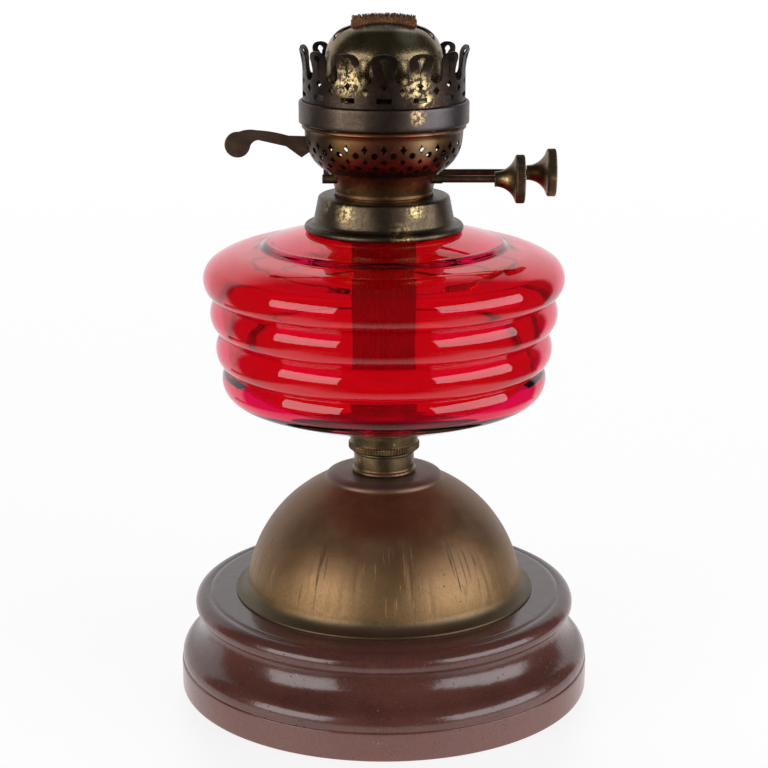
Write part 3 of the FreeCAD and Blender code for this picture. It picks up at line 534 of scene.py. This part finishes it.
# Of the basket's patches, the gold ones left and right of the front are painted highlights where
# the softboxes shine, and the red one low in front is a painted reflection of the ruby glass
# below; the reddish-brown one higher in front tints the brass.
BASKET = tarnished(
    "basket_brass", (0.075, 0.040, 0.022), (0.15, 0.080, 0.038), GOLD, 0.66,
    tints_and_painted_light=[((-16.0, -28.0, 250.0), 3.0, 11.0, (0.34, 0.18, 0.06), 0.75),
           ((15.0, -28.0, 249.0), 3.0, 10.0, (0.60, 0.40, 0.20), 0.80),
           ((0.0, -30.0, 239.0), 7.0, 21.0, (0.16, 0.036, 0.030), 0.75),
           ((0.0, -36.0, 256.0), 10.0, 22.0, (0.24, 0.085, 0.042), 0.7)])
# The band's bright patch is worn brass that is also a painted highlight; its grey-violet patch at
# the right front is a painted reflection of the bluish right softbox.
BAND = tarnished(
    "band_brass", (0.082, 0.058, 0.044), (0.115, 0.082, 0.060), (0.60, 0.40, 0.20), 0.72,
    [((14.0, -34.0, 264.0), 1.5, 5.0)],
    [((26.0, -26.0, 262.0), 6.0, 22.0, (0.105, 0.092, 0.098), 0.8)])
# Bright patches on the arches: worn brass placed where the softboxes shine, so also painted
# highlights.
CROWN = tarnished(
    "crown_brass", (0.036, 0.023, 0.017), (0.070, 0.047, 0.034), (0.70, 0.52, 0.26), 0.70,
    [((-15.0, -31.5, 279.0), 3.0, 9.0), ((14.0, -32.0, 276.0), 2.0, 8.0),
     ((18.0, -31.0, 270.0), 1.0, 5.0)], rough=(0.34, 0.55))
# Of the cone's patches, the pale one right of the front is a painted highlight; the dark top and
# the grey patches by the slot ends darken the brass.
CONE = tarnished(
    "cone_brass", (0.19, 0.135, 0.080), (0.31, 0.235, 0.120), (0.62, 0.45, 0.18), 0.66,
    tints_and_painted_light=[((10.0, -18.0, 296.0), 1.5, 7.5, (0.95, 0.86, 0.62), 0.85),
           ((0.0, -2.0, 302.0), 9.0, 17.0, (0.050, 0.052, 0.055), 0.9),
           ((-19.0, -6.0, 296.0), 2.0, 8.0, (0.12, 0.12, 0.12), 0.7),
           ((19.0, -6.0, 296.0), 2.0, 8.0, (0.12, 0.12, 0.12), 0.7)], rough=(0.18, 0.34))
NECK = tarnished(
    "neck_brass", (0.16, 0.105, 0.060), (0.26, 0.18, 0.095), (0.60, 0.43, 0.17), 0.64)
KNURL = tarnished(
    "knurl_brass", (0.10, 0.068, 0.034), (0.19, 0.13, 0.060), (0.66, 0.46, 0.18), 0.62)
WINDER = tarnished(
    "winder_brass", (0.160, 0.105, 0.065), (0.26, 0.180, 0.105), (0.60, 0.43, 0.16), 0.63,
    [((52.0, -16.0, 234.0), 1.0, 5.5)])
LEVER = tarnished(
    "lever_brass", (0.130, 0.080, 0.060), (0.19, 0.125, 0.090), (0.36, 0.20, 0.09), 0.66,
    rough=(0.36, 0.55))
COTTON = cotton()
IRON = rough_iron()
PLASTER = lamp_plaster()
RUBY = ruby_glass()


def settle(thing, body, material, slot, *nodes):
    """Give a piece its material and body, and hide the CAD nodes that it stands for. The slot is
    not used.
    """
    thing.data.materials.clear()
    thing.data.materials.append(material)
    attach(thing, body)
    if nodes:
        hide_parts(*nodes)
    return thing


# ---------------------------------------------------------------- the base


def make_foot():
    """Glazed foot: plinth band, ogee, groove and upper roll, hollow underneath."""
    radius, _, top = node_size("stoneware_foot")
    inner = radius - 6.5
    outline = soften(trace([
        (inner, 0), (radius - 1.0, 0), (radius, 1.0, 1.0), (radius, 12.4),
        (radius - 0.6, 13.2, 0.8),
        (88.2, 21.8, 7.5), (81.0, 34.5, -16.0), (86.2, 39.5, 5.0), (79.5, 44.2, 5.0),
        (78.3, top), (5.0, top), (5.0, top - 7), (inner - 14.5, top - 7), (inner - 11.5, top - 10),
        (inner - 10, top - 20.8), (inner, 11.0)], 0.8), 0.9)
    thing = lathe("foot", outline, 300, lambda a, r, z: 0.14 * noise(a, z, 3))
    settle(thing, "base", GLAZE, "foot_glaze", "stoneware_foot")


def make_dome():
    """Spun dome with its rolled rim and stepped seat, slightly dented low down."""
    rim, low, top = node_size("dome_cover")
    spring = low + 5.8
    outline = soften(trace([
        (rim - 4.1, low), (rim, low), (rim, low + 0.6), (rim - 0.8, low + 1.2, 0.9),
        (62.2, spring, -6.5), (27.0, top - 3.3, 61.0), (26.4, top - 2.7), (24.5, top - 0.5, 2.4),
        (22.5, top), (6.2, top), (6.2, top - 1), (22.3, top - 1), (25.4, top - 3.5),
        (26.57, top - 4.3), (61.2, spring - 0.2, -60.0), (61.6, low + 2.4)], 0.9), 0.4)
    rng = np.random.default_rng(5)
    folds = [(rng.uniform(-math.pi, math.pi), rng.uniform(0.010, 0.022), rng.uniform(54, 68),
              rng.uniform(6, 13), rng.uniform(-0.20, 0.12)) for _ in range(70)]

    def dents(a, r, z):
        total = 0.08 * noise(a, z, 11)
        for angle, width, height, tall, depth in folds:
            turn = (a - angle + math.pi) % (2 * math.pi) - math.pi
            total = total + depth * np.exp(-(turn / width) ** 2 - ((z - height) / tall) ** 2)
        return total * np.clip((z - spring) / 4, 0, 1)
    thing = lathe("dome", outline, 540, dents)
    settle(thing, "base", DOME, "dome_brass", "dome_cover")


def make_neck():
    """Brass socket on the dome."""
    radius, low, top = node_size("neck_socket")
    tube = radius - 1.6
    outline = soften(trace([
        (4.1, low), (tube + 0.3, low), (tube + 0.3, low + 2.2, 1.3), (tube, low + 2.7),
        (tube, top - 1.2), (tube + 0.5, top - 0.8), (tube + 0.5, top), (12.9, top),
        (12.9, low + 3.5), (4.1, low + 3.5)], 0.4), 0.3)
    settle(lathe("neck_socket_brass", outline, 160), "base", NECK, "neck_brass", "neck_socket")


# ---------------------------------------------------------------- the font


def make_peg():
    """Brass peg under the font, with a milled gripping ring."""
    _, low, top = node_size("font_peg")
    ring = low + 6.6
    teeth = 72
    outline = soften(trace([
        (10.0, low), (12.6, low), (12.6, ring), (14.9, ring), (16.0, ring + 0.8),
        (16.0, ring + 2.9), (15.2, ring + 3.7), (15.2, ring + 6.5), (16.6, top, -6.0),
        (15.4, top), (14.2, top - 2.4), (14.2, low + 8.7), (0, low + 8.7), (0, low + 6.1),
        (10.0, low + 6.1)], 0.35), 0.2)

    def milling(a, r, z):
        on_ring = np.clip((r - 15.2) / 0.5, 0, 1) * (z > ring + 0.2) * (z < ring + 3.5)
        return -0.34 * on_ring * (0.5 + 0.5 * np.cos(teeth * a))
    settle(lathe("font_peg_brass", outline, teeth * 6, milling), "font_body", KNURL, "neck_brass",
           "font_peg")


def make_font():
    """Blown glass font in four rolls."""
    glass = 3.5
    outline = soften(trace([
        (0, 114.0), (11, 114.0), (11, 120.3), (13.5, 121.3), (64.0, 134.8, 210.0),
        (70.3, 150.3, 10.0), (71.7, 165.4, 9.8), (74.3, 181.2, 10.4), (75.6, 197.3, 9.3),
        (64.0, 202.0, 30.0), (55.5, 203.1), (53.0, 204.7, -3.0), (50.5, 205.9, 3.2),
        (27.0, 211.2, 150.0), (25.5, 212.7, -1.5), (25.5, 215.9), (24.8, 216.6, 0.7),
        (22.1, 216.6), (21.5, 216.0, 0.6), (21.5, 211.6), (26.0, 207.5, 4.5), (50.0, 202.0),
        (64.0, 198.4), (73.4, 194.4, -40.0), (74.3 - glass, 181.4, -7.5),
        (71.7 - glass, 165.6, -10.5), (70.3 - glass, 150.5, -9.8), (61.8, 138.5, -8.5),
        (12.0, 126.5, -206.0), (0, 126.0)], 0.7), 1.1, least_turn=20.0)
    thing = lathe("ruby_font", outline, 320, lambda a, r, z: 0.10 * noise(a, z, 21, 6, 4))
    settle(thing, "font_body", RUBY, "ruby_glass", "font")


def make_collar():
    """Stepped brass collar."""
    _, low, top = node_size("font_collar")
    outline = soften(trace([
        (29.4, low + 0.9), (33.6, low), (34.9, low + 1.2, 1.4), (33.9, low + 3.1, 2.0),
        (30.7, low + 4.8, -2.6), (28.9, top - 1.6), (27.4, top, 1.6), (21.4, top),
        (21.4, top - 1.2), (27.2, top - 1.2), (27.7, top - 1.9), (29.4, low + 5.4)], 0.5), 0.35)
    thing = lathe("collar", outline, 240, lambda a, r, z: 0.05 * noise(a, z, 31))
    settle(thing, "font_body", COLLAR, "collar_brass", "font_collar")


# ---------------------------------------------------------------- the burner


def make_basket():
    """Pierced basket: rows of stars and rounds, 26 to the turn, and a gate for the lever."""
    top = node_size("basket")[2]
    profile = trace([(25.0, 236.7), (33.6, 247.5, 17.5), (34.4, 254.0, 46.0), (35.6, 255.6, -2.0),
                     (35.0, top, 1.3)], 0.45, closed=False)
    points = np.array(profile)
    reach = distances(points)
    count = 26
    step = 360.0 / count
    seam = FRONT + step * 0.25
    lever_side = 180.0
    rows = [
        (star(1.55, 2.1, 0.75), 0.0, 249.9), (disc(1.45), 0.5, 247.3),
        (star(1.35, 1.6, 0.65), 0.0, 244.5), (disc(1.4, 1.3), 0.5, 241.6),
        (disc(1.0, 0.9), 0.0, 239.6), (disc(0.55, 0.5), 0.5, 238.2)]
    holes = []
    for shape, phase, height in rows:
        distance = float(np.interp(height, points[:, 1], reach))
        there = float(np.interp(height, points[:, 1], points[:, 0]))
        for index in range(count):
            hole = stack_on(shape, FRONT + (index + phase) * step, distance, there)
            # The large stars stop short of the opening that the lever comes out of.
            at_lever = abs(hole[:, 0].mean() - lever_side) < step * 0.6
            if phase != 0.0 or not at_lever or height <= 243:
                holes.append(wrap(hole, seam))
    gate_low, gate_high = (float(np.interp(z, points[:, 1], reach)) for z in (239.9, 252.7))
    gate = math.degrees(1.2 / 33.0)
    clear = [hole for hole in holes if abs(hole[:, 0].mean() - lever_side) > gate + 3.0
             or hole[:, 1].min() > gate_high + 0.3]
    left, right = lever_side - gate, lever_side + gate
    clear.append(wrap(np.array([(left, gate_low), (right, gate_low), (right, gate_high),
                                (left, gate_high)]), seam))
    thing = pierced_shell("basket_shell", profile, clear, seam)
    settle(thing, "burner", BASKET, "burner_brass", "basket")


def wrap(hole, seam):
    """The hole moved by whole turns so that it lies in the turn that starts at the seam."""
    middle = hole[:, 0].mean()
    return hole - np.array([360.0 * math.floor((middle - seam) / 360.0), 0.0])


def make_knobs():
    """Shafts and trumpet-shaped knobs with milled rims."""
    for name in ("front", "back"):
        low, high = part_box("winder_knob_" + name)
        y, z = (low.y + high.y) / 2 / MM, (low.z + high.z) / 2 / MM
        long = (high.x - low.x) / MM
        rim = (high.z - low.z) / 2 / MM
        teeth = 66
        outline = soften(trace([
            (1.57, 0), (3.3, 0), (3.3, 1.0), (rim - 0.9, long - 4.6, -9.0), (rim, long - 4.0),
            (rim, long - 1.0), (rim - 0.7, long - 0.5, 0.7), (rim - 2.2, long - 0.7),
            (1.0, long, 45.0), (0, long), (0, 8.0), (1.57, 8.0)], 0.45), 0.25)

        def milling(a, r, h, rim=rim, long=long):
            on_rim = np.clip((r - rim + 0.7) / 0.5, 0, 1) * (h > long - 4.4)
            return -0.30 * on_rim * (0.5 + 0.5 * np.cos(teeth * a))
        knob = along_x(lathe("knob_" + name, outline, teeth * 5, milling), low.x / MM, y, z)
        settle(knob, "winder_" + name, WINDER, "winder_brass", "winder_knob_" + name)
        low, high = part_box("winder_shaft_" + name)
        reach = (high.x - low.x) / MM
        rod = (high.z - low.z) / 2 / MM
        outline = soften(trace([(0, 0), (rod, 0), (rod, reach), (0, reach)], 2.0), 0.3)
        shaft = along_x(lathe("shaft_" + name, outline, 40), low.x / MM, y, z)
        settle(shaft, "winder_" + name, WINDER, "winder_brass", "winder_shaft_" + name)


def make_lever():
    """Flat lever with a disc for the thumb."""
    pivot = next(j for j in frame["joints"] if j["name"] == "lever_press")["pos_m"]
    x, z = pivot[0] / MM, pivot[2] / MM
    low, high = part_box("extinguisher_lever")
    radius = 5.6
    disc_x, disc_z = low.x / MM + radius, low.z / MM + radius
    tip = high.x / MM
    outline = trace([
        (x - 7.3, z - 5.5), (x - 4.0, z - 3.2), (x, z - 3.0), (x + 3.0, z - 1.0, 3.6),
        (tip - 0.9, 252.6), (tip - 1.1, 255.6, 1.6), (x + 2.0, z + 4.0), (x - 5.5, z + 3.8),
        (x - 13.0, z + 4.0), (x - 27.0, z + 6.4, 60.0),
        (disc_x + 0.6, disc_z + radius - 0.05, 14.0), (disc_x - radius, disc_z, radius),
        (disc_x, disc_z - radius, radius),
        (disc_x + radius - 0.2, disc_z - 1.4, radius), (x - 26.0, z + 2.1, -4.0),
        (x - 14.0, z - 0.6)], 0.6)
    thing = prism("lever", outline, low.y / MM, high.y / MM, 0.28)
    settle(thing, "lever", LEVER, "lever_brass", "extinguisher_lever")


# ---------------------------------------------------------------- the gallery


def make_band():
    """Plain ring at the foot of the gallery."""
    radius, low, top = node_size("gallery_band")
    inner = radius - 1.6
    outline = soften(trace([
        (inner, low), (radius - 0.7, low), (radius, low + 0.9, 0.9), (radius, top - 1.0),
        (radius - 0.7, top, 1.0), (inner, top)], 0.6), 0.3)
    thing = lathe("band", outline, 240, lambda a, r, z: 0.07 * noise(a, z, 41))
    settle(thing, "gallery", BAND, "gallery_brass", "gallery_band")


def make_crown():
    """Coronet of arches that spring outwards at their tips."""
    radius, low, top = node_size("gallery_crown")
    band = node_size("gallery_band")[2]
    bend = 279.0
    profile = trace([(CROWN_RADIUS, low), (CROWN_RADIUS, bend), (radius, top, -38.3)], 0.5,
                    closed=False)
    points = np.array(profile)
    reach = distances(points)
    step = 360.0 / ARCHES
    seam = FRONT + step * 0.25

    def placed(shape, angle, height):
        distance = float(np.interp(band + height, points[:, 1], reach))
        return wrap(stack_on(shape, angle, distance, CROWN_RADIUS), seam)
    slot = np.array([(-3.2, -1.05), (3.2, -1.05), (3.2, 1.05), (-3.2, 1.05)])
    loop = np.array(trace([(0, 0), (0.75, 4.4, -9.0), (0.85, 5.6), (2.0, 7.9, -2.6),
                           (-2.0, 7.9, 2.05), (-0.85, 5.6, -2.6), (-0.75, 4.4)], 0.4))
    holes = []
    for index in range(ARCHES):
        here = FRONT + index * step
        holes.append(placed(slot, here, 3.3))
        holes.append(placed(star(1.7, 1.9, 0.75), here, 9.1))
        holes.append(placed(loop, here, 11.6))
        holes.append(placed(star(1.8, 1.85, 0.9), here + step / 2, 6.9))
    top_line = crown_edge(math.pi * CROWN_RADIUS / ARCHES, top - band)
    edge = []
    for index in range(ARCHES):
        centre = FRONT + (index + 0.5) * step
        edge += [(centre + math.degrees(x / CROWN_RADIUS), band - low + y) for x, y in top_line]
    settle(crown_mesh(profile, holes, edge, seam), "gallery", CROWN, "gallery_brass",
           "gallery_crown")


def crown_edge(half, tall):
    """The crown's upper edge from one arch's middle to the next, down and up a gap."""
    right = trace([(0, 9.8), (3.3, 13.2, 3.5), (3.0, 16.4, 7.0), (2.45, tall - 3.9, 6.0),
                   (half - 3.2, tall - 0.5, -3.4), (half - 0.9, tall, -9.0)], 0.35, closed=False)
    left = [(-x, y) for x, y in right[:0:-1]]
    return left + right


def crown_mesh(profile, holes, edge, seam):
    """The crown as a pierced sheet with its arched upper edge; each arch leans a little."""
    at, whole = along(profile)
    columns = 216
    angles = seam + np.arange(columns + 1) * 360.0 / columns
    rows = np.linspace(0, whole, 34)
    edge = np.array([p if p[0] > seam else (p[0] + 360.0, p[1]) for p in edge])
    edge = edge[edge[:, 0] < seam + 359.99]
    start = int(np.argmin(edge[:, 0]))
    edge = np.concatenate([edge[start:], edge[:start]])
    wall = [v for v in rows if v < whole - 0.3]
    domain = [(seam, v) for v in wall] + [(seam, whole)] + [tuple(p) for p in edge]
    domain += [(seam + 360.0, whole)] + [(seam + 360.0, v) for v in wall[::-1]]
    domain += [(a, 0.0) for a in angles[-2:0:-1]]
    grid = [(a, v) for a in angles[1:-1] for v in rows[1:-1]]
    flat, faces = pierced_sheet(domain, holes, grid)
    r, z, normal_r, normal_z = at(flat[:, 1])
    lean = np.random.default_rng(8).uniform(-0.25, 0.75, ARCHES)
    which = np.floor((flat[:, 0] - FRONT) / (360.0 / ARCHES) + 0.5).astype(int) % ARCHES
    free = 9.0
    tip = np.clip((flat[:, 1] - whole + free) / free, 0, 1)
    r = r + lean[which] * tip ** 2
    return thick("crown", np.radians(flat[:, 0]), (r, z, normal_r, normal_z), faces)


def make_cone():
    """Domed deflector with a slot over each wick, unrolled about its top."""
    radius, low, top = node_size("cone")
    side = radius - 3.2
    profile = trace([(0, top), (1.0, top), (side - 9.7, top - 3.0, -41.0),
                     (side - 3.4, top - 7.5, -11.0), (side - 0.8, top - 13.3, -13.0),
                     (side, top - 19.3, -30.0), (side, low + 1.2), (side + 0.4, low + 0.8, 0.5),
                     (radius, low + 0.8)], 0.6, closed=False)
    points = np.array(profile)
    reach = distances(points)
    dome = points[:, 1] > top - 19.0

    def unroll(x, y):
        r = math.hypot(x, y)
        s = float(np.interp(r, points[dome, 0], reach[dome]))
        return (s * x / r, s * y / r)
    half_long, half_wide = 21.5, 2.9
    holes = []
    for node in ("wick_front", "wick_back"):
        low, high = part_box(node)
        offset = (low.y + high.y) / 2 / MM
        ring = trace([(half_long, offset - half_wide), (half_long, offset + half_wide),
                      (-half_long, offset + half_wide), (-half_long, offset - half_wide)], 0.6)
        holes.append([unroll(x, y) for x, y in ring])
    whole = reach[-1]

    def circle(distance, count):
        turns = np.arange(count) * 2 * math.pi / count
        return [(distance * math.cos(a), distance * math.sin(a)) for a in turns]
    most = 180
    domain = circle(whole, most)
    grid = [(0.0, 0.0)]
    for distance in np.arange(1.2, whole - 0.4, 1.1):
        grid += circle(distance, max(12, min(most, round(2 * math.pi * distance / 1.3))))
    flat, faces = pierced_sheet(domain, holes, grid)
    s = np.hypot(flat[:, 0], flat[:, 1])
    turn = np.arctan2(flat[:, 1], flat[:, 0])
    slope = np.gradient(points, reach, axis=0)
    place = [np.interp(s, reach, column) for column in
             (points[:, 0], points[:, 1], -slope[:, 1], slope[:, 0])]
    settle(thick("cone_shell", turn, place, faces), "gallery", CONE, "cone_brass", "cone")


# ---------------------------------------------------------------- the wicks


def make_wick(name):
    """A flat woven wick: upright cords on both faces, a slack lower end, a frayed top."""
    low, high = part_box("wick_" + name)
    wide, thick_mm = (high.x - low.x) / MM, (high.y - low.y) / MM
    x0, y0 = (low.x + high.x) / 2 / MM, (low.y + high.y) / 2 / MM
    fray_height, slack_below = 2.3, 200.0
    bottom, top = low.z / MM, high.z / MM - fray_height
    cords, per_cord = 22, 6
    face = np.linspace(-0.5, 0.5, cords * per_cord + 1)
    ridge = 0.5 + 0.5 * np.cos(face * cords * 2 * math.pi + math.pi)
    half = thick_mm / 2 * (0.74 + 0.26 * ridge)
    ring = [(x * wide, -h) for x, h in zip(face, half)]
    ring += [(x * wide, h) for x, h in zip(face[::-1], half[::-1])]
    ring = np.array(ring)
    rng = np.random.default_rng(12 if name == "front" else 13)
    levels = np.linspace(bottom, top, round((top - bottom) / 0.9))
    vertices = []
    for level in levels:
        weave = 0.10 * np.sin(level * 3.3 + ring[:, 0] * 2.4 * np.sign(ring[:, 1]))
        slack = slack_below - level
        sag = 1.6 * math.sin(slack / 19.0) * min(1.0, max(0.0, slack / 25.0))
        drop = np.where(level > top - 1.0, -1.1 * (ring[:, 0] / wide * 2) ** 2, 0.0)
        y = ring[:, 1] + weave * np.sign(ring[:, 1]) + sag
        vertices.append(np.stack([ring[:, 0] + x0, y + y0, level + drop], 1))
    count = len(ring)
    faces = [(r * count + c, r * count + (c + 1) % count, (r + 1) * count + (c + 1) % count,
              (r + 1) * count + c) for r in range(len(levels) - 1) for c in range(count)]
    for start in (0, (len(levels) - 1) * count):
        faces += [(start + c, start + c + 1, start + count - 2 - c, start + count - 1 - c)
                  for c in range(cords * per_cord)]
    thing = finished("wick_%s_cloth" % name, np.concatenate(vertices), faces)
    settle(thing, name + "_wick", COTTON, "wick_cotton", "wick_" + name)
    tuft = fray(name, x0, y0, wide, thick_mm, top, rng)
    settle(tuft, name + "_wick", COTTON, "wick_cotton")


def fray(name, x0, y0, wide, thick_mm, top, rng):
    """Short curled ends of cotton on the cut edge, none wider than the wick."""
    vertices, faces = [], []
    sections, sides = 5, 5
    for _ in range(460):
        x, y = rng.uniform(-0.475, 0.475) * wide, rng.uniform(-0.44, 0.44) * thick_mm
        base = np.array([x + x0, y + y0, top - 0.9 - 1.1 * (x / wide * 2) ** 2])
        lean = np.array([rng.normal(-x / wide * 0.2, 0.2),
                         rng.normal(-y / thick_mm * 0.3, 0.22), 1.0])
        lean /= np.linalg.norm(lean)
        side = np.cross(lean, (0.3, 1.0, 0.1))
        side /= np.linalg.norm(side)
        other = np.cross(lean, side)
        long, fat = rng.uniform(1.4, 2.9), rng.uniform(0.24, 0.40)
        curl = rng.normal(0, 0.3)
        start = len(vertices)
        for k in range(sections):
            share = k / (sections - 1)
            middle = base + lean * long * share + side * curl * share ** 2
            middle[0] = np.clip(middle[0], x0 - wide / 2 + 0.4, x0 + wide / 2 - 0.4)
            middle[1] = np.clip(middle[1], y0 - thick_mm / 2 - 0.1, y0 + thick_mm / 2 + 0.1)
            width = fat * (1.0 - 0.55 * share)
            for turn in range(sides):
                a = turn * 2 * math.pi / sides
                vertices.append(middle + (side * math.cos(a) + other * math.sin(a)) * width)
        for k in range(sections - 1):
            first = start + k * sides
            faces += [(first + turn, first + (turn + 1) % sides,
                       first + (turn + 1) % sides + sides, first + turn + sides)
                      for turn in range(sides)]
        last = start + (sections - 1) * sides
        faces.append(tuple(range(start + sides - 1, start - 1, -1)))
        faces.append(tuple(range(last, last + sides)))
    return finished("wick_%s_fray" % name, vertices, faces)


# ---------------------------------------------------------------- the studio


def make_floor():
    """A white table that glows softly where the lamp stands, on a plain pale ground.

    The ground is only there for the eye: glass and brass mirror the table and the dim room."""
    p = Paint("floor_white", Roughness=0.45, Emission_Color=(1.0, 1.0, 1.0))
    across = p.node("ShaderNodeMath", p.x, operation="ABSOLUTE")
    dark, white = (0.04, 0.04, 0.04), (0.22, 0.22, 0.225)
    lit = p.times(p.remap(p.y, -250.0, -115.0), p.remap(across, 310.0, 235.0))
    seen = p.node("ShaderNodeLightPath")
    pale = p.node("ShaderNodeMath", lit, seen, operation="MAXIMUM")
    p.use(Base_Color=p.mix(pale, dark, white), Emission_Strength=p.times(pale, 0.82))
    for name, left, right, front, back, height in (
            ("table", -0.34, 0.34, -0.34, 0.23, 0.0), ("ground", -30, 30, -30, 30, -0.0005)):
        mesh = bpy.data.meshes.new(name)
        mesh.from_pydata([(left, front, height), (right, front, height), (right, back, height),
                          (left, back, height)], [], [(0, 1, 2, 3)])
        mesh.materials.append(p.material)
        slab = bpy.data.objects.new(name, mesh)
        bpy.context.scene.collection.objects.link(slab)
    slab.visible_diffuse = slab.visible_glossy = slab.visible_transmission = False
    slab.visible_shadow = False


def softbox(name, azimuth, width, colour):
    """A rectangular light that faces the lamp; azimuth is from the front towards +X."""
    elevation, distance, height, radiance = 10, 0.95, 0.52, 3.6
    light = bpy.data.lights.new(name, "AREA")
    light.shape = "RECTANGLE"
    light.size, light.size_y = width, height
    light.energy = radiance * math.pi * width * height
    light.color = colour
    lamp = bpy.data.objects.new(name, light)
    a, e = math.radians(azimuth), math.radians(elevation)
    away = Vector((math.sin(a) * math.cos(e), -math.cos(a) * math.cos(e), math.sin(e)))
    lamp.location = Vector((0, 0, 0.16)) + away * distance
    lamp.rotation_euler = away.to_track_quat("Z", "Y").to_euler()
    bpy.context.scene.collection.objects.link(lamp)


def make_world():
    """A white wall behind and dim room in front and above; the backdrop is plain white."""
    room, wall, through_glass, backdrop = 0.048, 0.93, 0.36, 0.915
    world = bpy.data.worlds.new("studio")
    world.use_nodes = True
    n = Nodes(world.node_tree)
    x, y, z = n.split(n.tree.nodes.new("ShaderNodeTexCoord").outputs["Generated"])
    behind = n.remap(n.sum(n.times(x, -0.142), y), 0.50, 0.62)
    light = n.times(behind, n.remap(z, 0.80, 0.50))
    level = n.node("ShaderNodeMapRange", light, 0.0, 1.0, room, wall)
    rays = n.tree.nodes.new("ShaderNodeLightPath").outputs
    level = n.node("ShaderNodeMath", level, n.times(rays["Is Transmission Ray"], through_glass),
                   operation="MAXIMUM")
    extra = n.node("ShaderNodeMath", backdrop, level, operation="SUBTRACT")
    level = n.node("ShaderNodeMath", rays["Is Camera Ray"], extra, level,
                   operation="MULTIPLY_ADD")
    background = n.tree.nodes["Background"].inputs
    n.feed(background["Color"], (1.0, 1.0, 1.01))
    n.feed(background["Strength"], level)
    bpy.context.scene.world = world


def make_camera():
    """The viewpoint: in front, above the burner, looking 15 degrees down."""
    back, up, tilt = 0.8649, 0.3720, 15.01
    camera = bpy.data.cameras.new("camera")
    camera.lens = 93.75
    camera.sensor_width = 36.0
    camera.clip_start = 0.01
    camera.clip_end = 50.0
    eye = bpy.data.objects.new("camera", camera)
    eye.location = (0, -back, up)
    eye.rotation_euler = (math.radians(90 - tilt), 0, 0)
    bpy.context.scene.collection.objects.link(eye)
    bpy.context.scene.camera = eye


make_foot()
make_dome()
make_neck()
make_peg()
make_font()
make_collar()
make_basket()
make_knobs()
make_lever()
make_band()
make_crown()
make_cone()
make_wick("front")
make_wick("back")

FINISHES = {
    "clamp": IRON, "peg_plaster": PLASTER, "collar_plaster": PLASTER, "burner_cup": CUP,
    "gallery_plate": CROWN, "bayonet": COLLAR, "sprockets": WINDER, "shaft_bushes": WINDER}
for node, thing in frame["nodes"].items():
    if thing.hide_render:
        continue
    finish = next((f for start, f in FINISHES.items() if node.startswith(start)), CUP)
    thing.data.materials.clear()
    thing.data.materials.append(finish)

make_floor()
make_world()
softbox("softbox_left", -50.5, width=0.75, colour=(1, 1, 1))
softbox("softbox_right", 62.5, width=1.08, colour=(0.94, 0.96, 1.0))
make_camera()
bpy.context.scene.view_settings.view_transform = "Standard"
# The hollow glass font goes black at its rims if light bounces fewer times than this.
light_paths = bpy.context.scene.cycles
light_paths.max_bounces = 32
light_paths.transmission_bounces = 32
light_paths.glossy_bounces = 16
